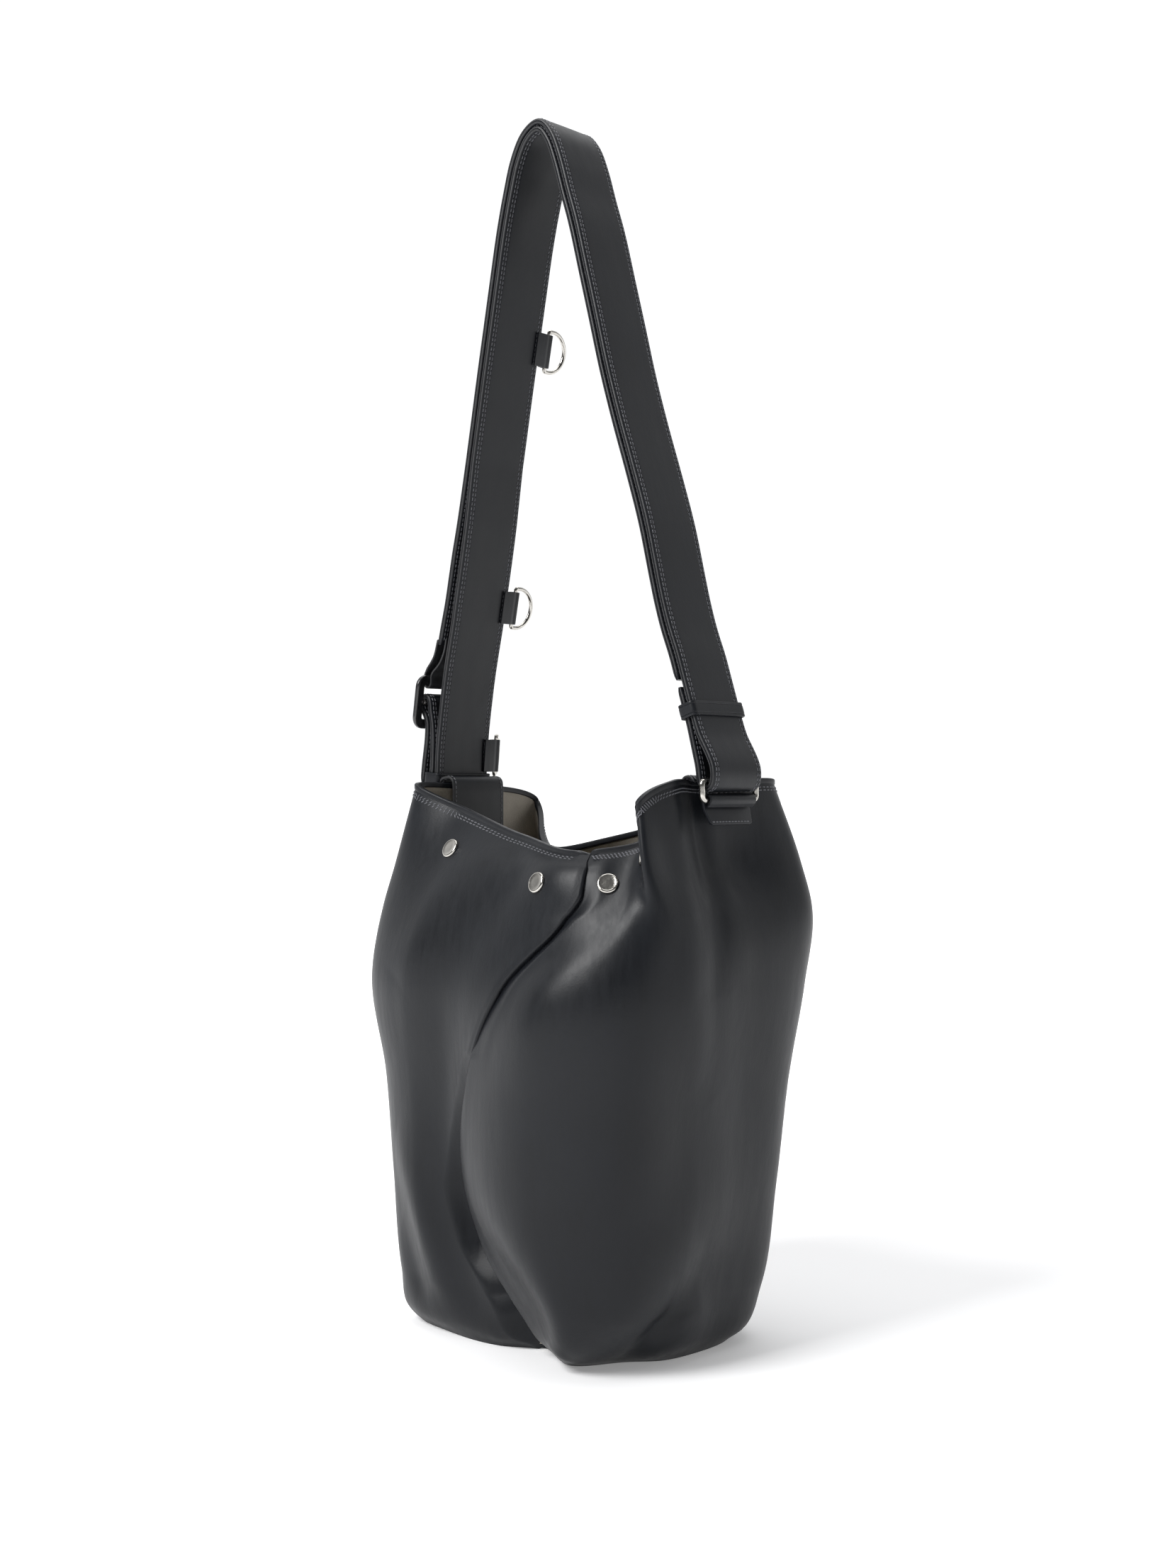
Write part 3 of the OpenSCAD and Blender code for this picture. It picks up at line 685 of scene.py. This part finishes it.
def dee_tab(k):
    """A leather loop: along the belt's inner face, round the bar and back, as a flat line in the belt's
    across plane, 23 mm tall."""
    o, ax, ay, az, _ = dee_frame(k)
    face = BELT_T / 2 + 0.9
    t = np.radians(np.linspace(-30, 200, 24))
    line = np.vstack([(-14.5, face + 0.2), (-9, face), (-4.4, face - 0.3), (-2.2, 2.1),
                      np.column_stack([2.35 * np.sin(t), 2.35 * np.cos(t)]), (-3.2, -1.2), (-6.6, 0.6)])
    line = smooth_line(line, 0.5)
    n = normal_of(line)
    path = o + line[:, :1] * ay + line[:, 1:] * ax
    up = n[:, :1] * ay + n[:, 1:] * ax
    across = np.tile(az, (len(line), 1))
    return carried(path, across, up, bar_profile(11.5, 0.7, 0.45))


# ---- Finishes

def add(tree, kind, links=None, **settings):
    """One node, with its settings and with its inputs set or linked."""
    n = tree.nodes.new(kind)
    for key, value in settings.items():
        setattr(n, key, value)
    for key, value in (links or {}).items():
        if isinstance(value, bpy.types.NodeSocket):
            tree.links.new(value, n.inputs[key])
        else:
            n.inputs[key].default_value = value
    return n


def finish(name, shader):
    """A material with a Principled shader. shader gets the tree and the object coordinates, and returns
    its inputs."""
    m = bpy.data.materials.new(name)
    m.use_nodes = True
    tree = m.node_tree
    tree.nodes.clear()
    place = add(tree, "ShaderNodeTexCoord").outputs["Object"]
    bsdf = add(tree, "ShaderNodeBsdfPrincipled", shader(tree, place))
    add(tree, "ShaderNodeOutputMaterial", {"Surface": bsdf.outputs[0]})
    return m


NOISE, RANGE, MIX, BUMP, MAPPING = (
    "ShaderNode" + kind for kind in ("TexNoise", "MapRange", "Mix", "Bump", "Mapping"))
# A noise stays mostly between 0.3 and 0.7, so that band is spread over the whole range
BAND = {"From Min": 0.3, "From Max": 0.7}


def shade(rgba, by):
    return (*(c * by for c in rgba[:3]), 1.0)


def calf(body):
    """Waxed calf: smooth full-grain hide rubbed with wax, so it is nearly black, with a wide soft gloss,
    faint burnished streaks that run down the bag, and pull wrinkles 20 mm apart. The real pores are about
    0.3 mm apart and too fine to show, so they are drawn 1.3 mm apart and very shallow."""
    def shader(tree, place):
        colour = tuple(bpy.context.scene.bag.leather)
        run = (1, 1, 0.07) if body else (1, 1, 0.25)
        patch = add(tree, NOISE, {"Vector": place, "Scale": 16, "Detail": 3}).outputs[0]
        down = add(tree, MAPPING, {"Vector": place, "Scale": run}).outputs[0]
        streak = add(tree, NOISE, {"Vector": down, "Scale": 230 if body else 120, "Detail": 3,
                                   "Roughness": 0.6}).outputs[0]
        share = add(tree, RANGE, {"Value": patch, **BAND}).outputs[0]
        tone = add(tree, MIX, {0: share, 6: shade(colour, 0.82), 7: shade(colour, 1.22)},
                   data_type="RGBA").outputs[2]
        share = add(tree, RANGE, {"Value": streak, **BAND, "To Max": 0.35}).outputs[0]
        tone = add(tree, MIX, {0: share, 6: tone, 7: shade(colour, 1.7)}, data_type="RGBA").outputs[2]
        rough = add(tree, RANGE, {"Value": streak, **BAND, "To Min": 0.38, "To Max": 0.46}).outputs[0]
        pores = add(tree, "ShaderNodeTexVoronoi", {"Vector": place, "Scale": 760.0}).outputs["Distance"]
        slack = add(tree, MAPPING, {"Vector": place, "Scale": (1, 1, 0.45)}).outputs[0]
        pull = add(tree, NOISE, {"Vector": slack, "Scale": 48, "Detail": 4, "Roughness": 0.55}).outputs[0]
        n = add(tree, BUMP, {"Height": pull, "Strength": 0.22, "Distance": 0.0012 if body else 0.0006}).outputs[0]
        n = add(tree, BUMP, {"Height": streak, "Strength": 0.12, "Distance": 0.0003, "Normal": n}).outputs[0]
        n = add(tree, BUMP, {"Height": pores, "Strength": 0.10, "Distance": 0.0002, "Normal": n}).outputs[0]
        return {"Base Color": tone, "Roughness": rough, "Normal": n, "Specular IOR Level": 0.27}
    return shader


def edge_paint(tree, place):
    """Acrylic edge paint: brushed on in two coats, so it is black, a little wavy and satin."""
    wave = add(tree, NOISE, {"Vector": place, "Scale": 260, "Detail": 2}).outputs[0]
    share = add(tree, RANGE, {"Value": wave, **BAND}).outputs[0]
    tone = add(tree, MIX, {0: share, 6: linear("#141416"), 7: linear("#1f2023")}, data_type="RGBA").outputs[2]
    n = add(tree, BUMP, {"Height": wave, "Strength": 0.25, "Distance": 0.0004}).outputs[0]
    return {"Base Color": tone, "Roughness": 0.5, "Normal": n}


def thread(tree, place):
    """Bonded polyester thread, 0.9 mm with a twist 1 mm long: black, but painted dark grey so the stitches show, with
    a painted lighter sheen along the twist.
    """
    twist_and_sheen = add(tree, NOISE, {"Vector": place, "Scale": 900.0}).outputs[0]
    share = add(tree, RANGE, {"Value": twist_and_sheen, **BAND}).outputs[0]
    # Painted sheen: the black thread gets grey tones, lighter where the twist noise is high
    tone = add(tree, MIX, {0: share, 6: linear("#3a3b40"), 7: linear("#5c5d63")}, data_type="RGBA").outputs[2]
    n = add(tree, BUMP, {"Height": twist_and_sheen, "Strength": 0.5, "Distance": 0.0003}).outputs[0]
    return {"Base Color": tone, "Roughness": 0.55, "Normal": n, "Sheen Weight": 0.15}


def suede(tree, place):
    """Split suede: sanded flesh side, matt, with nap brushed both ways in patches 20 mm wide and a nap
    about 1 mm long."""
    colour = tuple(bpy.context.scene.bag.lining)
    nap = add(tree, NOISE, {"Vector": place, "Scale": 900, "Detail": 4, "Roughness": 0.7}).outputs[0]
    patch = add(tree, NOISE, {"Vector": place, "Scale": 42, "Detail": 3}).outputs[0]
    share = add(tree, RANGE, {"Value": patch, **BAND}).outputs[0]
    tone = add(tree, MIX, {0: share, 6: shade(colour, 0.78), 7: shade(colour, 1.15)}, data_type="RGBA").outputs[2]
    share = add(tree, RANGE, {"Value": nap, **BAND, "To Max": 0.3}).outputs[0]
    tone = add(tree, MIX, {0: share, 6: tone, 7: shade(colour, 1.35)}, data_type="RGBA").outputs[2]
    n = add(tree, BUMP, {"Height": nap, "Strength": 0.5, "Distance": 0.0006}).outputs[0]
    return {"Base Color": tone, "Roughness": 0.95, "Normal": n, "Sheen Weight": 0.35, "Sheen Roughness": 0.5,
            "Specular IOR Level": 0.2}


def nickel(tree, place):
    """Nickel-plated brass, polished: a warm white mirror with hairline scratches 1 mm apart and slight
    waviness from the buffing wheel."""
    drawn = add(tree, MAPPING, {"Vector": place, "Scale": (1, 0.15, 1)}).outputs[0]
    hair = add(tree, NOISE, {"Vector": drawn, "Scale": 900, "Detail": 2, "Roughness": 0.6}).outputs[0]
    wave = add(tree, NOISE, {"Vector": place, "Scale": 220, "Detail": 2}).outputs[0]
    colour = tuple(bpy.context.scene.bag.metal)
    share = add(tree, RANGE, {"Value": wave, **BAND}).outputs[0]
    tone = add(tree, MIX, {0: share, 6: shade(colour, 0.92), 7: colour}, data_type="RGBA").outputs[2]
    rough = add(tree, RANGE, {"Value": hair, **BAND, "To Min": 0.12, "To Max": 0.2}).outputs[0]
    n = add(tree, BUMP, {"Height": wave, "Strength": 0.1, "Distance": 0.0003}).outputs[0]
    return {"Base Color": tone, "Metallic": 1.0, "Roughness": rough, "Normal": n}


def dark_nickel(tree, place):
    """Black nickel plating on the buckle's bar and prong: a dark grey metal, rubbed brighter in patches."""
    wear = add(tree, NOISE, {"Vector": place, "Scale": 300, "Detail": 3}).outputs[0]
    share = add(tree, RANGE, {"Value": wear, **BAND}).outputs[0]
    tone = add(tree, MIX, {0: share, 6: linear("#4c4b4c"), 7: linear("#8a8886")}, data_type="RGBA").outputs[2]
    rough = add(tree, RANGE, {"Value": wear, **BAND, "To Min": 0.34, "To Max": 0.22}).outputs[0]
    n = add(tree, BUMP, {"Height": wear, "Strength": 0.15, "Distance": 0.0003}).outputs[0]
    return {"Base Color": tone, "Metallic": 1.0, "Roughness": rough, "Normal": n}


def lacquer(tree, place):
    """Stoved black lacquer on cast zinc: deep black with a slightly orange-peeled gloss."""
    peel = add(tree, NOISE, {"Vector": place, "Scale": 420, "Detail": 2}).outputs[0]
    share = add(tree, RANGE, {"Value": peel, **BAND}).outputs[0]
    tone = add(tree, MIX, {0: share, 6: linear("#0d0d0f"), 7: linear("#17171a")}, data_type="RGBA").outputs[2]
    n = add(tree, BUMP, {"Height": peel, "Strength": 0.12, "Distance": 0.0003}).outputs[0]
    return {"Base Color": tone, "Roughness": 0.32, "Normal": n, "Coat Weight": 0.5, "Coat Roughness": 0.12}


def fibreboard(tree, place):
    """Pressed fibreboard: brown, matt, with fibres 1 mm wide."""
    fibre = add(tree, NOISE, {"Vector": place, "Scale": 700, "Detail": 4, "Roughness": 0.7}).outputs[0]
    share = add(tree, RANGE, {"Value": fibre, **BAND}).outputs[0]
    tone = add(tree, MIX, {0: share, 6: linear("#5d5143"), 7: linear("#7d705f")}, data_type="RGBA").outputs[2]
    n = add(tree, BUMP, {"Height": fibre, "Strength": 0.4, "Distance": 0.0005}).outputs[0]
    return {"Base Color": tone, "Roughness": 0.9, "Normal": n}


def make_finishes():
    for name, shader in (("waxed calf body", calf(True)), ("waxed calf strap", calf(False)),
                         ("edge paint", edge_paint), ("bonded thread", thread), ("split suede", suede),
                         ("polished nickel plate", nickel), ("black nickel plate", dark_nickel),
                         ("black lacquer", lacquer), ("fibreboard", fibreboard)):
        finish(name, shader)
    for node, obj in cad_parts.items():
        obj.data.materials.clear()
        obj.data.materials.append(bpy.data.materials["fibreboard" if node == "base_board" else "waxed calf body"])


# ---- Operators

LEATHER = ("waxed calf body",)
STRAP_LEATHER = ("waxed calf strap", "edge paint")


def on_edge(half):
    """Edge paint where a face's points all lie out at a strip's edge."""
    def pick(points, quads):
        return (np.abs(points[quads][..., 1]).min(axis=1) > half).astype(int)
    return pick


class BAG_OT_panels(bpy.types.Operator):
    """The two leather panels, which meet in the front crease and behind, and the base"""
    bl_idname = "bag.panels"
    bl_label = "Panels and base"

    def execute(self, context):
        add_piece("left_leather", [side_panel(-1)], LEATHER, "bag", sharp=60, replaces=["left_panel"])
        add_piece("right_leather", [side_panel(1)], LEATHER, "bag", sharp=60, replaces=["right_panel"])
        add_piece("base_leather", [plate(0.0, 1.9, 0.0, 2.2)], LEATHER, "bag", replaces=["base_panel"])
        return {"FINISHED"}


class BAG_OT_lining(bpy.types.Operator):
    """The suede lining and its floor over the board"""
    bl_idname = "bag.lining"
    bl_label = "Lining"

    def execute(self, context):
        add_piece("suede_wall", [lining_shell()], ("split suede",), "bag", replaces=["lining_wall"])
        add_piece("suede_floor", [plate(0.4, 3.6, 4.0, 4.9)], ("split suede",), "bag",
                  replaces=["lining_base"])
        return {"FINISHED"}


class BAG_OT_rim(bpy.types.Operator):
    """The bound edge of the mouth and the two rows of stitches below it"""
    bl_idname = "bag.rim"
    bl_label = "Rim"

    def execute(self, context):
        s = context.scene.bag
        pitch, width = s.stitch_pitch * 1000, s.stitch_width * 1000
        add_piece("mouth_binding", [rim_binding()], LEATHER, "bag", replaces=["rim_binding"])
        u = np.linspace(0, 14, 1401)
        drop = np.linalg.norm(wall(u, np.full_like(u, 7.9)) - wall(u, np.full_like(u, 8.0)), axis=1) * 10
        parts = []
        for below in (3.6, 5.6):
            v = 8 - below / drop
            p, out = skin(u, v, 0.1)
            at, t, share = spaced(p, pitch)
            ua = np.interp(share, np.linspace(0, 1, len(u)), u)
            va = np.interp(ua, u, v)
            centre, n = skin(ua, va, 0.08)
            keep = (np.abs(ua - 10) > 0.12)
            parts.append(stitches(centre[keep], unit(t - n * (t * n).sum(1)[:, None])[keep], n[keep], pitch, width))
        add_piece("mouth_stitches", parts, ("bonded thread",), "bag")
        return {"FINISHED"}


# Where each press stud sits on the wall, in section points and levels
STUDS = ((8.025, 7.25), (9.55, 6.625), (10.575, 6.675), (11.375, 7.35))


class BAG_OT_studs(bpy.types.Operator):
    """Press stud caps on the front and their sockets inside"""
    bl_idname = "bag.studs"
    bl_label = "Press studs"

    def execute(self, context):
        cap = ((0.0, -1.0), (5.9, -1.0), (6.4, -0.2), (6.75, 0.5), (6.8, 1.0), (6.6, 1.5), (6.1, 1.9), (5.5, 2.0),
               (5.25, 1.93), (5.0, 1.85), (3.0, 1.9), (0.0, 1.95))
        socket = ((0.0, -4.2), (2.2, -4.2), (2.4, -5.4), (3.1, -5.6), (3.4, -4.6), (5.2, -4.4), (5.4, -3.6), (5.0, -2.9),
                  (0.0, -2.9))
        caps, sockets = [], []
        for u, v in STUDS:
            p, n = skin(np.array([u]), np.array([v]))
            caps.append(turned(cap, p[0], n[0]))
            sockets.append(turned(socket, p[0], n[0]))
        add_piece("stud_cap_discs", caps, ("polished nickel plate",), "bag", replaces=["stud_caps"])
        add_piece("stud_socket_rings", sockets, ("polished nickel plate",), "bag",
                  replaces=["stud_sockets"])
        return {"FINISHED"}


class BAG_OT_side_tabs(bpy.types.Operator):
    """The flaps inside the mouth, the tabs outside it and the side rings that they hold"""
    bl_idname = "bag.side_tabs"
    bl_label = "Side tabs and rings"

    def execute(self, context):
        s = context.scene.bag
        pitch, width = s.stitch_pitch * 1000, s.stitch_width * 1000
        for side, name, ring, reach in ((1, "right", RIGHT_RING, 110.5), (-1, "left", LEFT_RING, 113.5)):
            flip = np.array((side, 1.0))
            path = np.array([(100.3, 330), (100.3, 345), (100.3, 362), (100.9, 368.2), (103.4, 370.5), (106.5, 370.7),
                             (reach - 2, 370.2), (reach, 367.6)])
            strip, line, up = leather_strip(path * flip, lambda t: 25 - 2.5 * ease((0.06 - t) / 0.06), 1.8)
            rows = []
            for y in (-22.6, 22.6):
                for face in (-1, 1):
                    at, t, share = spaced(line + (0, y, 0) + up * face * 0.86, pitch)
                    n = unit(np.column_stack([np.interp(share, np.linspace(0, 1, len(up)), up[:, k]) for k in range(3)]))
                    rows.append(stitches(at, t, n * face, pitch, width))
            add_piece(name + "_flap_leather", [strip], STRAP_LEATHER, "bag", strap=True,
                      finish_of=on_edge(24.4), replaces=[name + "_flap"])
            add_piece(name + "_flap_stitches", rows, ("bonded thread",), "bag", strap=True)
            # The tab: up from its leaf, round the bar and back down behind
            a = np.radians(np.linspace(205, -60, 22))
            bend = np.column_stack([3.15 * np.cos(a), 3.15 * np.sin(a)])
            path = np.vstack([(1.6, -15.5), (0.1, -11.5), (-1.6, -7), (-2.8, -3.4), bend, (0.2, -4.2)])
            strip, line, up = leather_strip(path * flip + ring, lambda t: np.where(
                t < 0.35, np.interp(t, (0, 0.04, 0.30), (20.0, 21.5, 23.5)), 23.5), 1.9, step=0.5)
            below = np.array((1.0, -13.6)) * flip + ring
            y = np.arange(-18.5, 18.6, pitch)
            centre = np.column_stack([np.full(len(y), below[0] + side * 0.9), y, np.full(len(y), below[1])])
            seam = stitches(centre, np.tile((0.0, 1.0, 0.0), (len(y), 1)), np.tile((float(side), 0, 0), (len(y), 1)),
                            pitch, width)
            shift = (np.array(CENTRE) - (0, STRAP_FRONT, 0)) / 1000
            low = tuple(np.array((ring[0], 0, ring[1] - 7)) / 1000 + shift)
            high = tuple(np.array((ring[0], 0, ring[1] + 1)) / 1000 + shift)
            add_piece(name + "_tab_leather", [strip], STRAP_LEATHER, ("bag", "strap", low, high),
                      strap=True, replaces=[name + "_tab"])
            add_piece(name + "_tab_stitches", [seam], ("bonded thread",), ("bag", "strap", low, high),
                      strap=True)
            wire = densify(round_ring(((28, 0), (28, RING_H), (-28, RING_H), (-28, 0)), 3.0), 0.9)
            add_piece(name + "_side_ring", [flat_ring(wire, (0, 1, 0), (0, 0, 1), (ring[0], 0, ring[1]), circle(2.0))],
                      ("polished nickel plate",), "strap", strap=True, replaces=[name + "_ring"])
        return {"FINISHED"}


class BAG_OT_belts(bpy.types.Operator):
    """The outer and inner belts of the strap with their stitch rows"""
    bl_idname = "bag.belts"
    bl_label = "Belts"

    def execute(self, context):
        s = context.scene.bag
        pitch, width = s.stitch_pitch * 1000, s.stitch_width * 1000
        for name, path in zip(("outer", "inner"), belt_paths()):
            path = smooth_line(path, 2.4)
            obj = add_piece(name + "_belt_leather", [belt(path)], STRAP_LEATHER, "strap", strap=True,
                            finish_of=on_edge(24.6), replaces=[name + "_belt"])
            if name == "inner":
                self.cut_slot(obj)
            rows = belt_rows(path, pitch, width)
            for k, label in ((0, "front"), (4, "back")):
                add_piece(f"{name}_belt_{label}_stitches", rows[k:k + 4], ("bonded thread",), "strap",
                          strap=True)
        return {"FINISHED"}

    def cut_slot(self, obj):
        """The prong's slot: a box round the buckle's bar taken out of the belt where it turns back."""
        shift = np.array(CENTRE) - (0, STRAP_FRONT, 0)
        x, z = BAR
        corners = np.array([(i, j, k) for i in (x - 16, x + 4.2) for j in (-3.6, 3.6) for k in (z - 14, z + 6.5)])
        cutter = bpy.data.meshes.new("slot")
        cutter.from_pydata(((corners + shift) / 1000).tolist(), [],
                           [(0, 1, 3, 2), (4, 6, 7, 5), (0, 4, 5, 1), (2, 3, 7, 6), (0, 2, 6, 4), (1, 5, 7, 3)])
        tool = bpy.data.objects.new("slot", cutter)
        bpy.context.scene.collection.objects.link(tool)
        m = obj.modifiers.new("slot", "BOOLEAN")
        m.operation, m.object, m.solver = "DIFFERENCE", tool, "EXACT"
        bpy.context.view_layer.update()
        cut = bpy.data.meshes.new_from_object(obj.evaluated_get(bpy.context.evaluated_depsgraph_get()))
        obj.modifiers.clear()
        old, obj.data = obj.data, cut
        bpy.data.meshes.remove(old)
        bpy.data.objects.remove(tool)
        bpy.data.meshes.remove(cutter)
        if not obj.data.polygons:
            raise RuntimeError("the slot took the whole belt")


class BAG_OT_keepers(bpy.types.Operator):
    """The sliding keeper on the right leg and the fixed one on the left"""
    bl_idname = "bag.keepers"
    bl_label = "Keepers"

    def execute(self, context):
        add_piece("right_keeper_band", [keeper((105.8, 412), -17.8, BELT_T + LAYER, 0.4)], ("waxed calf strap",),
                  "keeper", strap=True, replaces=["right_keeper"])
        add_piece("left_keeper_band", [keeper((-120.7, 369.3), 6, BELT_T + 6.6, 0.3)], ("waxed calf strap",),
                  "strap", strap=True, replaces=["left_keeper"])
        return {"FINISHED"}


class BAG_OT_buckle(bpy.types.Operator):
    """The lacquered frame, its bar and prong, and the leather tab that holds it"""
    bl_idname = "bag.buckle"
    bl_label = "Buckle"

    def execute(self, context):
        x, y, z = (np.array(a, float) for a in tilted(None, 8))
        o = np.array((BAR[0], 0, BAR[1]))
        line = densify(round_ring(((15.5, -29.5), (15.5, 29.5), (-15.5, 29.5), (-15.5, -29.5)), 5.0, 10), 1.2)
        frame_ring = flat_ring(line, z, y, o - x * 1.2, bar_profile(3.5, 1.7, 1.3, 5))
        add_piece("buckle_lacquered_frame", [frame_ring], ("black lacquer",), "strap",
                  strap=True, replaces=["buckle_frame"])
        bar = turned(((0, -27.5), (1.2, -27.5), (1.2, -26.2), (1.8, -26.0), (2.0, -25.6), (2.0, 25.6), (1.8, 26.0),
                      (1.2, 26.2), (1.2, 27.5), (0, 27.5)), o, (0, 1, 0), 24)
        add_piece("buckle_round_bar", [bar], ("black nickel plate",), "strap", strap=True,
                  replaces=["buckle_bar"])
        hub = turned(((2.1, -1.9), (3.5, -1.9), (3.85, -1.4), (3.9, 0), (3.85, 1.4), (3.5, 1.9), (2.1, 1.9)),
                     o, (0, 1, 0), 24)
        hub = (hub[0][24:-24], faces_of(7, 24, wrap_n=True))
        path = np.array([(-3.2, 0.4), (-4.4, -1.8), (-4.75, -6), (-4.75, -12), (-4.8, -17), (-4.4, -18.9)])
        path = smooth_line(path, 0.8)
        n = normal_of(path)
        points = o + path[:, :1] * x + path[:, 1:] * z
        up = n[:, :1] * x + n[:, 1:] * z
        share = np.linspace(0, 1, len(path))
        size = np.stack([2.0 - 0.5 * share, 1.05 - 0.35 * share], axis=1)
        size[-1] *= 0.5
        prong = carried(points, np.tile(y, (len(path), 1)), up, bar_profile(1, 1, 0.5)[None] * size[:, None])
        add_piece("buckle_swinging_prong", [hub, prong], ("black nickel plate",), "prong",
                  strap=True, replaces=["buckle_prong"])
        c = BAR + 15.5 * np.array((math.sin(math.radians(8)), math.cos(math.radians(8)))) - (1.2, 0)
        half, side = 4.0, 1.7 + 0.6 + 0.75
        path = traced([(-109.5, 467), (-111.5, 458.5), (-116.2, 450), tuple(c + (side, half - 1)),
                       tuple(c + (side - 0.4, 1 - half)), tuple(c + (side * 0.3, -half - 1.05)),
                       tuple(c + (-side * 0.5, -half - 0.95)), tuple(c + (-side - 0.5, 1 - half)),
                       tuple(c + (-side, half)), (-121.6, 455), (-117.6, 467)], 3)
        strip, line, up = leather_strip(path, 23, 1.5, step=0.8)
        add_piece("buckle_tab_leather", [strip], STRAP_LEATHER, "strap", strap=True,
                  finish_of=on_edge(22.4), replaces=["buckle_tab"])
        return {"FINISHED"}


class BAG_OT_dee_rings(bpy.types.Operator):
    """The three D-rings on the strap's back edge and their leather tabs"""
    bl_idname = "bag.dee_rings"
    bl_label = "D-rings"

    def execute(self, context):
        for k, body in enumerate(("high_dee", "middle_dee", "low_dee")):
            add_piece(body + "_wire", [dee_ring(k)], ("polished nickel plate",), body, strap=True,
                      replaces=[f"dee_ring_{k + 1}"])
            add_piece(body + "_tab_leather", [dee_tab(k)], ("waxed calf strap",), "strap", strap=True,
                      replaces=[f"dee_tab_{k + 1}"])
        return {"FINISHED"}


class BAG_OT_stage(bpy.types.Operator):
    """Floor, light and camera"""
    bl_idname = "bag.stage"
    bl_label = "Stage"

    def execute(self, context):
        scene = context.scene
        scene.view_settings.view_transform = "Standard"
        turn = math.radians(41)
        ahead = Vector((-math.sin(turn), math.cos(turn), 0))
        right = Vector((math.cos(turn), math.sin(turn), 0))
        floor = bpy.data.meshes.new("floor")
        floor.from_pydata([(-30, -30, 0), (30, -30, 0), (30, 30, 0), (-30, 30, 0)], [], [(0, 1, 2, 3)])
        floor = bpy.data.objects.new("floor", floor)
        scene.collection.objects.link(floor)
        m = bpy.data.materials.new("painted studio floor")
        m.use_nodes = True
        shader = m.node_tree.nodes["Principled BSDF"]
        shader.inputs["Base Color"].default_value = linear("#f4f4f5")
        shader.inputs["Roughness"].default_value = 0.9
        shader.inputs["Specular IOR Level"].default_value = 0.1
        shader.inputs["Emission Color"].default_value = (1, 1, 1, 1)
        # The backdrop is washed white beyond a metre, so only the floor near the bag takes shadows
        spot = add(m.node_tree, "ShaderNodeTexCoord").outputs["Object"]
        far = add(m.node_tree, "ShaderNodeVectorMath", {0: spot}, operation="LENGTH").outputs["Value"]
        wash = add(m.node_tree, "ShaderNodeMapRange", {"Value": far, "From Min": 0.35, "From Max": 2.2,
                                                       "To Min": 0.22, "To Max": 1.0},
                   interpolation_type="SMOOTHSTEP").outputs[0]
        m.node_tree.links.new(wash, shader.inputs["Emission Strength"])
        floor.data.materials.append(m)
        world = bpy.data.worlds.new("studio")
        scene.world = world
        world.use_nodes = True
        tree = world.node_tree
        tree.nodes.clear()
        # Bright behind the bag and darker behind the camera, as in a studio with a white backdrop
        ray = add(tree, "ShaderNodeTexCoord").outputs["Generated"]
        facing = add(tree, "ShaderNodeVectorMath", {0: ray, 1: tuple(ahead)}, operation="DOT_PRODUCT").outputs["Value"]
        level = add(tree, "ShaderNodeMapRange", {"Value": facing, "From Min": -0.1, "From Max": 0.75, "To Min": 0.14,
                                                 "To Max": 1.08}, interpolation_type="SMOOTHSTEP").outputs[0]
        back = add(tree, "ShaderNodeBackground", {"Color": (0.985, 0.99, 1.0, 1.0), "Strength": level})
        add(tree, "ShaderNodeOutputWorld", {"Surface": back.outputs[0]})
        for name, place, aim, size, power in (
                ("key", -right * 1.5 - ahead * 1.1 + Vector((0, 0, 1.9)), (0, 0, 0.3), (0.9, 1.2), 62),
                ("top", ahead * 0.3 + Vector((0, 0, 2.6)), (0, 0, 0.2), (2.0, 2.0), 26),
                ("fill", right * 1.9 - ahead * 0.2 + Vector((0, 0, 1.0)), (0, 0, 0.35), (0.4, 1.6), 3)):
            data = bpy.data.lights.new(name, "AREA")
            data.shape = "RECTANGLE"
            data.size, data.size_y = size
            data.energy = power
            lamp = bpy.data.objects.new(name, data)
            lamp.location = place
            lamp.rotation_euler = (Vector(aim) - Vector(place)).to_track_quat("-Z", "Y").to_euler()
            scene.collection.objects.link(lamp)
        data = bpy.data.cameras.new("camera")
        data.sensor_fit = "VERTICAL"
        data.sensor_height = 36
        data.lens = 45.57
        data.clip_end = 100
        camera = bpy.data.objects.new("camera", data)
        camera.location = (0.8765, -0.997, 0.366)
        camera.rotation_euler = ahead.to_track_quat("-Z", "Y").to_euler()
        scene.collection.objects.link(camera)
        scene.camera = camera
        return {"FINISHED"}


STEPS = (BAG_OT_panels, BAG_OT_lining, BAG_OT_rim, BAG_OT_studs, BAG_OT_side_tabs, BAG_OT_belts, BAG_OT_keepers,
         BAG_OT_buckle, BAG_OT_dee_rings, BAG_OT_stage)


class BAG_PT_sidebar(bpy.types.Panel):
    """Lists the bag's settings and its pieces"""
    bl_idname = "BAG_PT_sidebar"
    bl_label = "Bucket bag"
    bl_space_type = "VIEW_3D"
    bl_region_type = "UI"
    bl_category = "Bag"

    def draw(self, context):
        for key in ("stitch_pitch", "stitch_width", "fold_depth", "leather", "lining", "metal"):
            self.layout.prop(context.scene.bag, key)
        for step in STEPS:
            self.layout.operator(step.bl_idname)


CLASSES = (BagSettings, *STEPS, BAG_PT_sidebar)


def register():
    for c in CLASSES:
        bpy.utils.register_class(c)
    bpy.types.Scene.bag = bpy.props.PointerProperty(type=BagSettings)


def unregister():
    del bpy.types.Scene.bag
    for c in reversed(CLASSES):
        bpy.utils.unregister_class(c)


def main():
    register()
    make_finishes()
    for step in STEPS:
        group, _, name = step.bl_idname.partition(".")
        getattr(getattr(bpy.ops, group), name)()


if __name__ == "__main__":
    main()
